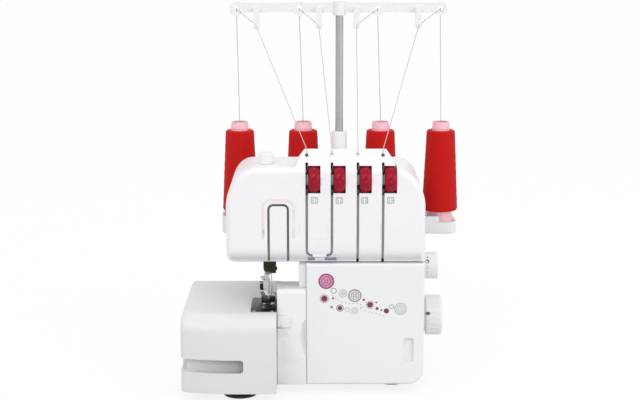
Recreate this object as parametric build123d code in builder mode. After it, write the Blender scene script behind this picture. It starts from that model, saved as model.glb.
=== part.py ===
from build123d import *
from math import cos, radians, sin
import os

# Four-thread overlock machine.
# X runs to the machine's right, Y to its rear and Z up. The origin is on the table,
# below the middle of the machine's outline.

os.makedirs("parts", exist_ok=True)

# ---------------------------------------------------------------- casing
WALL = 2.5
SEAM_GAP = 0.3
FLOOR_GAP = 12.0
BODY_LEFT = -34.0
BODY_RIGHT = 126.5
BODY_FRONT = -93.5
BODY_REAR = 49.0
SHELL_SEAM_Y = -28.0
BASE_THICKNESS = 4.0
BASE_CORNER_R = 20.0
BASE_REAR = 42.0
BASE_FRONT = -78.5
HEAD_OPENING_DEPTH = 70.0
VENT_X = 70.0
VENT_Z = 60.0
VENT_LENGTH = 60.0
VENT_WIDTH = 3.0
VENT_PITCH = 7.0
VENT_COUNT = 6

HEAD_LEFT = -126.3
HEAD_TOP = 296.0
HEAD_BOTTOM = 173.4
HEAD_CORNER_WIDTH = 42.0
HEAD_CORNER_HEIGHT = 52.0
HEAD_FOOT_R = 10.0
HEAD_EDGE_R = 7.0
HEAD_SLOPE_FRONT = -15.0
HEAD_SLOPE_HEIGHT = 40.0
CHIN_TOP = 200.0
CHIN_DEPTH = 5.0

# ---------------------------------------------------------------- tension panel
THREAD_COUNT = 4
SLOT_WIDTH = 3.4
SLOT_XS = (-23.7, 8.1, 40.9, 72.7)
SLOT_TOP = 302.0
SLOT_DEPTH = 12.0
LINER_WALL = 1.2
LOOP_BOTTOM = 183.0
LOOP_R = 6.0
HUMP_LEFT = -44.0
HUMP_RIGHT = 94.0
HUMP_FLANK = 17.0
HUMP_TOP = 317.0
HUMP_CREST_Y = -74.0
HUMP_CREST_DEPTH = 6.0
HUMP_BACK_Y = -40.0
HUMP_FOOT_Z = 289.0
HUMP_EDGE_R = 2.5
HUMP_ROOT_Z = HEAD_TOP - 12.0
GUIDE_HOLE_R = 2.2
GUIDE_HOLE_Z = 310.5
DIAL_R = 18.5
DIAL_WIDTH = 15.0
DIAL_Y = -80.0
DIAL_Z = 279.5
DIAL_GAP = 0.3
WINDOW_BOTTOM = DIAL_Z - 15.4
WINDOW_TOP = DIAL_Z + 18.8
WINDOW_WIDTH = SLOT_WIDTH / 2 + DIAL_WIDTH + 2 * DIAL_GAP
DIAL_CROWN = 1.2
DIAL_BACK_Y = DIAL_Y + DIAL_R + 1.5
SPINDLE_R = 3.0
SPINDLE_LENGTH = 25.0
RUNNING_FIT = 0.05
TENSION_EAR_REACH = 5.0
TENSION_EAR_R = 4.5
TENSION_EAR_THICKNESS = 1.6
TENSION_PLATE_SIZE = (26.0, 2.0, 26.0)
TENSION_PLATE_MARGIN = 8.0
TENSION_PLATE_DROP = 16.0
STAND_OFF_XS = (-15.0, 25.0, 65.0)
STAND_OFF_DROP = 8.0
STAND_OFF_R = 4.0
DISC_OFFSETS = (-1.3, 0.7)
DISC_R = 9.0
DISC_THICKNESS = 0.6

# ---------------------------------------------------------------- needle and presser
NEEDLE_X = -71.6
NEEDLE_Y = -72.0
BAR_R = 3.25
CLAMP_BOTTOM = 156.5
CLAMP_HEIGHT = 16.5
CLAMP_WIDTH = 16.2
CLAMP_DEPTH = 13.0
CLAMP_CORNER_R = 3.0
CLAMP_CHAMFER = 1.2
CLAMP_SOCKET = 4.0
CLAMP_SCREW_SPREAD = 3.6
CLAMP_SCREW_HEIGHT = 6.0
CLAMP_SCREW_R = 2.1
CLAMP_SCREW_HEAD = 2.4
NEEDLE_BAR_TOP = 286.0
NEEDLE_R = 0.8
NEEDLE_FIT = 0.2
NEEDLE_POINT = 6.0
NEEDLE_TIP_R = 0.15
NEEDLE_PITCH = 4.0
NEEDLE_LENGTH = 29.0
PRESSER_X = -76.5
PRESSER_Y = -56.0
KNOB_R = 10.3
KNOB_HEIGHT = 14.0
KNOB_STEM_R = 4.0
GROOVE_XS = (-72.1, -47.5)
GROOVE_TOP = 249.0
GROOVE_BOTTOM = 176.0
GROOVE_WIDTH = 3.0
GROOVE_DEPTH = 7.5
GROOVE_R = 6.0
OPENING_X = NEEDLE_X - 2.0
OPENING_WIDTH = 34.0
OPENING_R = 4.0
OPENING_FRONT_REACH = 56.0
OPENING_REAR_REACH = 42.0

# ---------------------------------------------------------------- bed
BED_TOP = 113.0
BED_LEFT = -184.0
BED_RIGHT = -62.2
BED_FRONT = -131.5
BED_REAR = 49.0
BED_FRONT_SWEEP = 10.0
BED_STRAIGHT = 60.0
BED_FRONT_R = 24.0
BED_SIDE_R = 8.0
GROOVE_Z = (39.5, 56.5)
FINGER_GROOVE_END = -104.0
FINGER_GROOVE_DEPTH = 7.0
FINGER_GROOVE_R = 4.0
FINGER_GROOVE_ROOM = 50.0
HOOD_TOP = 139.0
HOOD_REAR = -47.0
HOOD_R = 6.0
SCOOP_Z = 73.5
SCOOP_REACH = 8.0
SCOOP_HEIGHT = 27.0
SCOOP_OFFSET = 2.5
ARM_LEFT = -165.0
ARM_FRONT = -108.0
ARM_REAR = -10.0
ARM_CORNER_R = 22.0
ARM_WINDOW_LEFT = 3.0
ARM_WINDOW_MARGIN = 9.0
LOOPER_WINDOW_LIFT = 10.0
LOOPER_WINDOW_HEIGHT = 70.0
LOOPER_WINDOW_R = 6.0
PLATE_THICKNESS = 2.8
PLATE_LEFT = -95.0
PLATE_FRONT = -106.5
PLATE_REAR = -38.0
PLATE_CORNER_R = 3.0
PLATE_SCREW_X = PLATE_LEFT + 5.0
PLATE_SCREW_MARGIN = 6.0
PLATE_SCREW_R = 1.6
PLATE_SCREW_HEAD_R = 3.0
FEED_SLOT_XS = (-88.0, -80.0)
FEED_SLOT_SIZE = (5.0, 46.0)
NEEDLE_SLOT_MARGIN = 5.0
NEEDLE_SLOT_WIDTH = 3.4
KNIFE_X = -60.6
KNIFE_Y = -84.8
KNIFE_REACH = 5.5
KNIFE_THICKNESS = 2.0
BRACKET_DEPTH = 3.6
BRACKET_THICKNESS = 3.0
KNIFE_ROD_X = -48.0
KNIFE_ROD_Y = -83.0
KNIFE_ROD_R = 2.5
KNIFE_BOSS_TOP = 52.0
KNIFE_BOSS_WIDTH = 12.0
KNIFE_BOSS_R = 2.0
KNIFE_ROD_SEAT = 12.0
KNIFE_ARM_DEPTH = 6.0
LEVER_X = -53.5
LEVER_Z = 97.0
LEVER_WIDTH = 16.0
LEVER_HEIGHT = 15.0
LEVER_CORNER_R = 2.0
LEVER_EDGE_R = 1.2
LEVER_THICKNESS = 4.0
LEVER_STEM = 3.0
LEVER_STEM_X = LEVER_X + 2.0
LEVER_TRAVEL = 4.0

# ---------------------------------------------------------------- looper cover
COVER_LEFT = -24.8
COVER_TOP = 172.6
COVER_DEPTH = 12.2
COVER_EDGE_R = 3.0
GRIP_X = 107.0
GRIP_Z = 58.5
GRIP_SIZE = (13.0, 32.0)
GRIP_R = 3.0
GRIP_DEPTH = 4.0
HINGE_Y = -87.0
HINGE_Z = 16.5
HINGE_ROD_R = 1.6
COVER_SLIDE = 8.0
LUG_NOTCH_HEIGHT = 10.0

# ---------------------------------------------------------------- drive
SHAFT_Y = -13.5
SHAFT_Z = 83.0
SHAFT_R = 6.0
SHAFT_LEFT = -12.0
SHAFT_HOLE_GAP = 2.0
BEARING_XS = (0.0, 82.0)
BEARING_WIDTH = 12.0
BEARING_R = 14.0
HANDWHEEL_R = 26.75
HANDWHEEL_X = 129.0
HANDWHEEL_WIDTH = 26.0
HANDWHEEL_HUB = 14.0
HANDWHEEL_STEP = 5.0
HANDWHEEL_EDGE_R = 3.0
HOLLOW_COUNT = 20
HOLLOW_R = 4.0
HOLLOW_DEPTH = 0.6
HOLLOW_START = 8.0
HOLLOW_LENGTH = 12.0
MOTOR_LEFT = 28.0
MOTOR_LENGTH = 58.0
MOTOR_EDGE = 2.0
MOTOR_NOSE_R = 8.0
MOTOR_NOSE_LENGTH = 4.0
MOTOR_SHAFT_R = 2.5
MOTOR_SHAFT_SEAT = 6.0
MOTOR_FOOT_XS = (34.0, 70.0)
MOTOR_FOOT_WIDTH = 8.0
MOTOR_FOOT_LENGTH = 30.0
MOTOR_FOOT_OVERLAP = 5.0
MOTOR_Y = 12.0
MOTOR_Z = 42.0
MOTOR_R = 20.0
PULLEY_X = 100.0
PULLEY_WIDTH = 10.0
SHAFT_PULLEY_R = 24.0
MOTOR_PULLEY_R = 8.0
PULLEY_HOLE_COUNT = 5
PULLEY_HOLE_RING_R = 15.0
PULLEY_HOLE_R = 4.5
BELT_MARGIN = 1.0
BELT_GAP = 0.35
BELT_THICKNESS = 2.2
STITCH_DIAL_R = 17.3
STITCH_DIAL_Y = -36.0
STITCH_DIAL_Z = 156.5
STITCH_DIAL_X = 129.0
STITCH_DIAL_WIDTH = 18.0
STITCH_DIAL_EDGE_R = 2.0
STITCH_SPINDLE_R = 3.0
STITCH_SPINDLE_SEAT = 20.0
STITCH_BORE_R = 5.0
FRAME_FRONT = -44.0
FRAME_REAR = -32.0
FRAME_LEFT = -150.0
FRAME_RIGHT = 94.0
COLUMN_LEFT = -22.0
FRAME_BED_TOP = 96.0
FRAME_ARM_TOP = 286.0
FRAME_ARM_LEFT = PRESSER_X + 18.0
FRAME_INNER_R = 18.0
FRAME_OUTER_R = 12.0
COLUMN_WINDOW_PLACE = (35.0, 150.0)
COLUMN_WINDOW_SIZE = (60.0, 56.0)
COLUMN_WINDOW_R = 10.0
BED_WINDOW_PLACE = (-95.0, 56.0)
BED_WINDOW_SIZE = (70.0, 40.0)
BED_WINDOW_R = 8.0
SOCKET_Y = 28.0
INLET_Z = 36.0
INLET_SIZE = (20.4, 16.4)
INLET_DEPTH = 14.0
INLET_POCKET_SIZE = (15.0, 9.0)
INLET_POCKET_DEPTH = 9.0
INLET_PIN_R = 1.2
INLET_PIN_PITCH = 7.0
INLET_PIN_LENGTH = 7.0
SWITCH_Z = 66.0
SWITCH_SIZE = (12.6, 19.6)
SWITCH_DEPTH = 16.0
SWITCH_RIM = 0.5
ROCKER_DEPTH = 8.0
ROCKER_FOOT = 6.5
ROCKER_REACH = 6.9
ROCKER_RISE = 0.3
ROCKER_DIP = 0.8

# ---------------------------------------------------------------- thread stand
TRAY_LEFT = -143.0
TRAY_RIGHT = 182.0
TRAY_FRONT = 73.0
TRAY_REAR = 131.5
TRAY_BOTTOM = 173.6
TRAY_FLOOR = 188.0
TRAY_RIM = 198.5
TRAY_WALL = 2.5
TRAY_CORNER_R = 12.0
TRAY_INNER_R = 9.0
TRAY_FOOT_R = 3.0
TRAY_STEP_X = 158.0
TRAY_STEP_HEIGHT = 2.0
NECK_X = 20.0
NECK_WIDTH = 180.0
NECK_OVERLAP = 8.0
CONE_Y = 96.5
CONE_PIN_R = 3.5
CONE_PIN_LENGTH = 100.0
CUSHION_R = 19.0
CONE_XS = (-117.8, -30.2, 76.6, 160.0)
MAST_X = 19.0
MAST_Y = 62.0
MAST_R = 5.2
MAST_TUBE_R = 10.4
MAST_TUBE_TOP = 320.0
MAST_TRAVEL = 125.0
BAR_Z = 486.3
RING_Z = BAR_Z - 1.3
HOOK_Z = BAR_Z - 23.3
RING_OFFSETS = (-138.0, -54.0, 51.0, 135.0)
HOOK_OFFSETS = (-110.8, -27.6, 22.5, 105.0)
THREAD_R = 0.35


def facing_front(y):
    """A sketch plane at depth y: its x is X, its y is Z, and it extrudes forwards."""
    return Plane.XZ.offset(-y)


def facing_right(x):
    """A sketch plane at x: its x is Y, its y is Z, and it extrudes to the right."""
    return Plane.YZ.offset(x)


def level(z):
    """A sketch plane at height z, extruding upwards."""
    return Plane.XY.offset(z)


def half_section(x, y, z):
    """A plane for pieces turned about X: its x is the radius and its y runs to the right."""
    return Plane(origin=(x, y, z), x_dir=(0, 0, 1), z_dir=(0, 1, 0))


def axle(x, y, z):
    """The axis through a point along X."""
    return Axis((x, y, z), (1, 0, 0))


# ================================================================ casing shells
def head_outline(inset):
    """Front view of the head, its walls drawn in by inset."""
    left, right = HEAD_LEFT + inset, BODY_RIGHT - inset
    bottom, top = HEAD_BOTTOM + inset, HEAD_TOP - inset
    wide, high = HEAD_CORNER_WIDTH - inset, HEAD_CORNER_HEIGHT - inset
    foot = HEAD_FOOT_R - inset
    with BuildSketch() as outline:
        with BuildLine():
            Line((left + foot, bottom), (right, bottom))
            Line((right, bottom), (right, top - high))
            EllipticalCenterArc((right - wide, top - high), wide, high, 0, arc_size=90)
            Line((right - wide, top), (left + wide, top))
            EllipticalCenterArc((left + wide, top - high), wide, high, 90, arc_size=90)
            Line((left, top - high), (left, bottom + foot))
            RadiusArc((left, bottom + foot), (left + foot, bottom), -foot)
        make_face()
    return outline.sketch


def hump_profile(inset):
    """Side view of the raised tension panel: a steep front up to its crest, then down behind."""
    with BuildSketch() as profile:
        with BuildLine():
            Polyline(
                (BODY_FRONT + inset, HUMP_FOOT_Z),
                (HUMP_CREST_Y + inset, HUMP_TOP - inset),
                (HUMP_CREST_Y + HUMP_CREST_DEPTH - inset / 2, HUMP_TOP - inset),
                (HUMP_BACK_Y - inset, HEAD_TOP - 2 * WALL),
                (HUMP_BACK_Y - inset, HUMP_ROOT_Z),
                (BODY_FRONT + inset, HUMP_ROOT_Z),
                close=True,
            )
        make_face()
    return profile.sketch


def hump_outline(inset):
    """Front view of the raised tension panel, its flanks leaning in towards the crest."""
    left, right = HUMP_LEFT + inset, HUMP_RIGHT - inset
    with BuildSketch() as outline:
        with BuildLine():
            Polyline(
                (left, HUMP_ROOT_Z),
                (left, HUMP_FOOT_Z),
                (left + HUMP_FLANK, HUMP_TOP),
                (right - HUMP_FLANK, HUMP_TOP),
                (right, HUMP_FOOT_Z),
                (right, HUMP_ROOT_Z),
                close=True,
            )
        make_face()
    return outline.sketch


def head_front_block(inset, rear):
    """Solid front half of the head, as far back as rear, drawn in by inset."""
    front = BODY_FRONT + inset
    with BuildPart() as block:
        with BuildSketch(facing_front(rear)):
            add(head_outline(inset))
        extrude(amount=rear - front)
        with BuildSketch(facing_right(HEAD_LEFT)):
            with BuildLine():
                Polyline(
                    (front, CHIN_TOP),
                    (front + CHIN_DEPTH, HEAD_BOTTOM - 1),
                    (front - 1, HEAD_BOTTOM - 1),
                    (front - 1, CHIN_TOP),
                    close=True,
                )
            make_face()
        extrude(amount=BODY_RIGHT - HEAD_LEFT, mode=Mode.SUBTRACT)
        rim = block.edges().filter_by_position(Axis.Y, front - 0.1, front + CHIN_DEPTH + 0.1)
        crease = rim.filter_by(Axis.X).filter_by_position(Axis.Z, CHIN_TOP - 1, CHIN_TOP + 1)
        chamfered = [edge for edge in rim if edge not in crease]
        fillet(chamfered, HEAD_EDGE_R - inset)
    return block.part


def hump_block(inset):
    """Solid tension panel hump, drawn in by inset."""
    with BuildPart() as block:
        with BuildSketch(facing_right(HUMP_LEFT)):
            add(hump_profile(inset))
        extrude(amount=HUMP_RIGHT - HUMP_LEFT)
        with BuildSketch(facing_front(HUMP_BACK_Y + 1)):
            add(hump_outline(inset))
        extrude(amount=HUMP_BACK_Y + 2 - BODY_FRONT, mode=Mode.INTERSECT)
        raised = block.edges().filter_by(lambda edge: edge.center().Z > HUMP_FOOT_Z + 5)
        fillet(raised, HUMP_EDGE_R - inset / 2)
    return block.part


def front_y(z):
    """Depth of the panel's front face at height z."""
    if z < HUMP_FOOT_Z:
        return BODY_FRONT
    return BODY_FRONT + (HUMP_CREST_Y - BODY_FRONT) * (z - HUMP_FOOT_Z) / (HUMP_TOP - HUMP_FOOT_Z)


def channel(points, corner_r, line_width, back, depth):
    """A solid along a line in the front view, line_width wide, reaching forwards from back."""
    with BuildPart() as run:
        with BuildSketch(facing_front(back)):
            with BuildLine():
                path = Polyline(*points)
                if len(points) > 2:
                    fillet(path.vertices(), corner_r)
            trace(line_width=line_width)
        extrude(amount=depth)
    return run.part


head_outer = head_front_block(0, SHELL_SEAM_Y)
head_inner = head_front_block(WALL, SHELL_SEAM_Y + 1)
hump_outer = hump_block(0)
hump_inner = hump_block(WALL)

# lines sunk into the head's front: the first two tension slots, joined in a loop below, the
# other two, which run out at the bottom, and the needle threads' groove, an upturned U
sunk_lines = [
    (
        (
            (SLOT_XS[0], SLOT_TOP),
            (SLOT_XS[0], LOOP_BOTTOM),
            (SLOT_XS[1], LOOP_BOTTOM),
            (SLOT_XS[1], SLOT_TOP),
        ),
        LOOP_R,
        SLOT_WIDTH,
        SLOT_DEPTH,
    ),
    (((SLOT_XS[2], SLOT_TOP), (SLOT_XS[2], HEAD_BOTTOM - 1)), 0, SLOT_WIDTH, SLOT_DEPTH),
    (((SLOT_XS[3], SLOT_TOP), (SLOT_XS[3], HEAD_BOTTOM - 1)), 0, SLOT_WIDTH, SLOT_DEPTH),
    (
        (
            (GROOVE_XS[0], GROOVE_BOTTOM),
            (GROOVE_XS[0], GROOVE_TOP),
            (GROOVE_XS[1], GROOVE_TOP),
            (GROOVE_XS[1], GROOVE_BOTTOM),
        ),
        GROOVE_R,
        GROOVE_WIDTH,
        GROOVE_DEPTH,
    ),
]

with BuildPart() as head_cover:
    add(head_outer)
    add(hump_outer)
    add(head_inner, mode=Mode.SUBTRACT)
    add(hump_inner, mode=Mode.SUBTRACT)
    # a liner behind each sunk line, kept within the casing's outside
    for points, corner_r, line_width, depth in sunk_lines:
        back = BODY_FRONT + depth + LINER_WALL
        liner = channel(points, corner_r, line_width + 2 * LINER_WALL, back, back - BODY_FRONT)
        add(liner & (head_outer + hump_outer))
    for points, corner_r, line_width, depth in sunk_lines:
        add(channel(points, corner_r, line_width, BODY_FRONT + depth, 2 * depth), mode=Mode.SUBTRACT)
    for slot_x in SLOT_XS:
        # the window that the dial comes through, and room behind it for the tension discs
        with BuildSketch(facing_front(DIAL_BACK_Y)):
            with Locations((slot_x, WINDOW_BOTTOM)):
                Rectangle(WINDOW_WIDTH, WINDOW_TOP - WINDOW_BOTTOM, align=Align.MIN)
        extrude(amount=2 * DIAL_R + 5, mode=Mode.SUBTRACT)
        with Locations((slot_x - TENSION_EAR_REACH, BODY_FRONT + WALL, DIAL_Z - DIAL_R - 1)):
            Box(
                SPINDLE_LENGTH - 1,
                DIAL_BACK_Y - BODY_FRONT - WALL,
                HUMP_FOOT_Z - DIAL_Z + DIAL_R + 1,
                align=Align.MIN,
                mode=Mode.SUBTRACT,
            )
        with BuildSketch(facing_front(HUMP_CREST_Y + 2)):
            with Locations((slot_x, GUIDE_HOLE_Z)):
                Circle(GUIDE_HOLE_R)
        extrude(amount=HUMP_CREST_Y + 4 - BODY_FRONT, mode=Mode.SUBTRACT)
    # the bore for the pressure screw
    with BuildSketch(level(HEAD_TOP - 2 * WALL)):
        with Locations((PRESSER_X, PRESSER_Y)):
            Circle(KNOB_STEM_R + RUNNING_FIT)
    extrude(amount=3 * WALL, mode=Mode.SUBTRACT)
    # the opening that the needle bar and presser bar come down through
    with BuildSketch(level(HEAD_BOTTOM - 2)):
        with Locations((OPENING_X, SHELL_SEAM_Y)):
            RectangleRounded(OPENING_WIDTH, 2 * OPENING_FRONT_REACH, OPENING_R)
    extrude(amount=WALL + 3, mode=Mode.SUBTRACT)
    # the base part of the head stands open over the looper space
    with BuildSketch(level(HEAD_BOTTOM - 2)):
        with Locations((BODY_LEFT + 2 * WALL, BODY_FRONT + 2 * WALL + CHIN_DEPTH)):
            Rectangle(BODY_RIGHT - BODY_LEFT - 4 * WALL, HEAD_OPENING_DEPTH, align=Align.MIN)
    extrude(amount=WALL + 3, mode=Mode.SUBTRACT)
head_cover.part.label = "head_cover"
export_step(head_cover.part, "parts/head_cover.step")


def rear_profile(inset):
    """Side view of the casing's rear half, its top curving down to the back."""
    rear, top = BODY_REAR - inset, HEAD_TOP - inset
    front = SHELL_SEAM_Y - inset
    with BuildSketch() as profile:
        with BuildLine():
            Polyline((rear, HEAD_TOP - HEAD_SLOPE_HEIGHT), (rear, 0), (front, 0), (front, top),
                     (HEAD_SLOPE_FRONT, top))
            EllipticalCenterArc(
                (HEAD_SLOPE_FRONT, HEAD_TOP - HEAD_SLOPE_HEIGHT),
                rear - HEAD_SLOPE_FRONT,
                HEAD_SLOPE_HEIGHT - inset,
                0,
                arc_size=90,
            )
        make_face()
    return profile.sketch


def rear_block(inset):
    """Solid rear half of the casing: the head over the column, down to the base."""
    with BuildPart() as block:
        with BuildSketch(facing_front(BODY_REAR - inset)):
            add(head_outline(inset))
            with Locations((BODY_LEFT + inset, FLOOR_GAP + inset)):
                Rectangle(
                    BODY_RIGHT - BODY_LEFT - 2 * inset,
                    HEAD_TOP - HEAD_CORNER_HEIGHT - FLOOR_GAP - 2 * inset,
                    align=Align.MIN,
                )
            fillet(vertices().group_by(Axis.Y)[0].sort_by(Axis.X)[-1], BASE_CORNER_R - inset)
        extrude(amount=BODY_REAR - inset - SHELL_SEAM_Y + inset)
        rear_edges = block.faces().sort_by(Axis.Y)[-1].edges()
        fillet(rear_edges, HEAD_EDGE_R - inset)
        with BuildSketch(facing_right(HEAD_LEFT)):
            add(rear_profile(inset))
        extrude(amount=BODY_RIGHT - HEAD_LEFT, mode=Mode.INTERSECT)
    return block.part


BASE_RIGHT = BODY_RIGHT - BASE_CORNER_R
rear_outer = rear_block(0)
rear_inner = rear_block(WALL)

with BuildPart() as rear_cover:
    add(rear_outer)
    add(rear_inner, mode=Mode.SUBTRACT)
    # the floor is open for the base plate
    with Locations((BODY_LEFT + WALL, SHELL_SEAM_Y - 1, FLOOR_GAP - 1)):
        Box(
            BASE_RIGHT - BODY_LEFT - WALL,
            BASE_REAR - SHELL_SEAM_Y + 1,
            BASE_THICKNESS + 1,
            align=Align.MIN,
            mode=Mode.SUBTRACT,
        )
    # holes in the right side for the main shaft
    with BuildSketch(facing_right(BODY_RIGHT - 2 * WALL)):
        with Locations((SHAFT_Y, SHAFT_Z)):
            Circle(SHAFT_R + SHAFT_HOLE_GAP)
    extrude(amount=3 * WALL, mode=Mode.SUBTRACT)
    # power socket and switch openings
    with BuildSketch(facing_right(BODY_RIGHT - 2 * WALL)):
        with Locations((SOCKET_Y, INLET_Z)):
            Rectangle(*INLET_SIZE)
        with Locations((SOCKET_Y, SWITCH_Z)):
            Rectangle(*SWITCH_SIZE)
    extrude(amount=3 * WALL, mode=Mode.SUBTRACT)
    # cooling slots in the back
    with BuildSketch(facing_front(BODY_REAR + 1)):
        with Locations((VENT_X, VENT_Z)):
            with GridLocations(0, VENT_PITCH, 1, VENT_COUNT):
                SlotOverall(VENT_LENGTH, VENT_WIDTH)
    extrude(amount=2 * WALL, mode=Mode.SUBTRACT)
    # the needle opening continues under the head, for the presser lifter
    with BuildSketch(level(HEAD_BOTTOM - 2)):
        with Locations((OPENING_X, SHELL_SEAM_Y)):
            RectangleRounded(OPENING_WIDTH, 2 * OPENING_REAR_REACH, OPENING_R)
    extrude(amount=WALL + 3, mode=Mode.SUBTRACT)
rear_cover.part.label = "rear_cover"
export_step(rear_cover.part, "parts/rear_cover.step")

RING_FRONT = BODY_FRONT + COVER_DEPTH + SEAM_GAP
RING_DEPTH = SHELL_SEAM_Y - RING_FRONT
BASE_TOP = FLOOR_GAP + BASE_THICKNESS
POST_RIGHT = COVER_LEFT - 0.5
POST_DEPTH = 3.5

with BuildPart() as front_frame:
    with BuildSketch(facing_front(SHELL_SEAM_Y)):
        with Locations((BODY_LEFT, FLOOR_GAP)):
            Rectangle(BODY_RIGHT - BODY_LEFT, COVER_TOP - FLOOR_GAP, align=Align.MIN)
        fillet(vertices().group_by(Axis.Y)[0].sort_by(Axis.X)[-1], BASE_CORNER_R)
        offset(amount=-WALL, mode=Mode.SUBTRACT)
    extrude(amount=RING_DEPTH)
    # the floor is open for the base plate, and the left wall for the casting and loopers
    with Locations((BODY_LEFT - 1, RING_FRONT - 1, FLOOR_GAP - 1)):
        Box(
            BASE_RIGHT - BODY_LEFT + 1,
            RING_DEPTH + 2,
            BASE_THICKNESS + 1,
            align=Align.MIN,
            mode=Mode.SUBTRACT,
        )
        Box(
            2 * WALL,
            RING_DEPTH + 2,
            BED_TOP - FLOOR_GAP + 1,
            align=Align.MIN,
            mode=Mode.SUBTRACT,
        )
    # the top wall is open round the casting
    with Locations((COLUMN_LEFT - 1, FRAME_FRONT - 1, COVER_TOP - 2 * WALL)):
        Box(
            FRAME_RIGHT - COLUMN_LEFT + 2,
            SHELL_SEAM_Y - FRAME_FRONT + 2,
            3 * WALL,
            align=Align.MIN,
            mode=Mode.SUBTRACT,
        )
    # the narrow post between the throat and the looper cover, above the hood
    with BuildSketch(level(HOOD_TOP + SEAM_GAP)):
        with Locations((BODY_LEFT, RING_FRONT - POST_DEPTH)):
            Rectangle(POST_RIGHT - BODY_LEFT, POST_DEPTH, align=Align.MIN)
        fillet(vertices().group_by(Axis.Y)[0].sort_by(Axis.X)[0], POST_DEPTH - 1)
    extrude(amount=COVER_TOP - HOOD_TOP - SEAM_GAP)
    # the bore in the right wall for the stitch length dial
    with BuildSketch(facing_right(BODY_RIGHT - 2 * WALL)):
        with Locations((STITCH_DIAL_Y, STITCH_DIAL_Z)):
            Circle(STITCH_BORE_R)
    extrude(amount=3 * WALL, mode=Mode.SUBTRACT)
front_frame.part.label = "front_frame"
export_step(front_frame.part, "parts/front_frame.step")

# ================================================================ looper cover and its hinge
LUG_R = 3.4
LUG_XS = (-20.0, 101.0)
EAR_XS = (-5.0, 84.0)
LUG_WIDTH = 6.0

with BuildPart() as looper_cover:
    with BuildSketch(facing_front(BODY_FRONT + COVER_DEPTH)):
        with Locations((COVER_LEFT, FLOOR_GAP)):
            Rectangle(BODY_RIGHT - COVER_LEFT, COVER_TOP - FLOOR_GAP, align=Align.MIN)
        fillet(vertices().group_by(Axis.Y)[0].sort_by(Axis.X)[-1], BASE_CORNER_R)
    extrude(amount=COVER_DEPTH)
    fillet(faces().sort_by(Axis.Y)[0].edges(), COVER_EDGE_R)
    offset(amount=-WALL, openings=faces().sort_by(Axis.Y)[-1], mode=Mode.REPLACE)
    # finger grip: a pocket in the face with its own floor behind
    with BuildSketch(facing_front(BODY_FRONT + WALL + GRIP_DEPTH)):
        with Locations((GRIP_X, GRIP_Z)):
            RectangleRounded(GRIP_SIZE[0] + 2 * WALL, GRIP_SIZE[1] + 2 * WALL, GRIP_R + 1)
    extrude(amount=GRIP_DEPTH)
    with BuildSketch(facing_front(BODY_FRONT + GRIP_DEPTH)):
        with Locations((GRIP_X, GRIP_Z)):
            RectangleRounded(*GRIP_SIZE, GRIP_R)
    extrude(amount=GRIP_DEPTH + 1, mode=Mode.SUBTRACT)
    # ears that hang the cover on its rod
    for ear_x in EAR_XS:
        with BuildSketch(facing_right(ear_x - LUG_WIDTH / 2)):
            with Locations((HINGE_Y, HINGE_Z)):
                Circle(LUG_R)
            with Locations((BODY_FRONT + WALL, HINGE_Z)):
                Rectangle(HINGE_Y - BODY_FRONT - WALL, 2 * LUG_R, align=(Align.MIN, Align.CENTER))
        extrude(amount=LUG_WIDTH)
    # the bottom wall stops short, so that it clears the base as the cover swings
    with Locations((COVER_LEFT - 1, HINGE_Y + 3, FLOOR_GAP - 1)):
        Box(
            BODY_RIGHT - COVER_LEFT + 2,
            COVER_DEPTH,
            HINGE_Z - FLOOR_GAP + 1,
            align=Align.MIN,
            mode=Mode.SUBTRACT,
        )
    # notches that clear the fixed lugs over the cover's whole sideways slide
    for lug_x in LUG_XS:
        with Locations((lug_x - LUG_WIDTH / 2 - COVER_SLIDE - 1, BODY_FRONT + WALL, FLOOR_GAP - 1)):
            Box(
                LUG_WIDTH + COVER_SLIDE + 2,
                COVER_DEPTH,
                LUG_NOTCH_HEIGHT,
                align=Align.MIN,
                mode=Mode.SUBTRACT,
            )
    with BuildSketch(facing_right(COVER_LEFT - 1)):
        with Locations((HINGE_Y, HINGE_Z)):
            Circle(HINGE_ROD_R + RUNNING_FIT)
    extrude(amount=BODY_RIGHT - COVER_LEFT - WALL, mode=Mode.SUBTRACT)
looper_cover.part.label = "looper_cover"
export_step(looper_cover.part, "parts/looper_cover.step")

with BuildPart() as cover_hinge_rod:
    with BuildSketch(facing_right(BODY_LEFT + 2)):
        with Locations((HINGE_Y, HINGE_Z)):
            Circle(HINGE_ROD_R)
    extrude(amount=LUG_XS[-1] + LUG_WIDTH / 2 - BODY_LEFT - 2)
    chamfer(edges().filter_by(GeomType.CIRCLE), 0.4)
cover_hinge_rod.part.label = "cover_hinge_rod"
export_step(cover_hinge_rod.part, "parts/cover_hinge_rod.step")

# ================================================================ base and bed
FOOT_PLACES = ((-110.0, -85.5), (-20.0, 28.0), (88.0, 28.0), (88.0, -38.0))
FOOT_R = 21.0

with BuildPart() as feet:
    with BuildSketch(Plane.XZ) as foot_half:
        with BuildLine():
            Polyline((0, 2), (14, 2), (17, 0), (FOOT_R, 0), (FOOT_R, 2.5))
            Spline((FOOT_R, 2.5), (13, 7), (11.5, FLOOR_GAP), tangents=((-1, 0.3), (0, 1)))
            Polyline((11.5, FLOOR_GAP), (0, FLOOR_GAP), (0, 2))
        make_face()
    with Locations(*FOOT_PLACES):
        add(revolve(foot_half.sketch, Axis.Z, mode=Mode.PRIVATE))
feet.part.label = "feet"
export_step(feet.part, "parts/feet.step")

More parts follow.
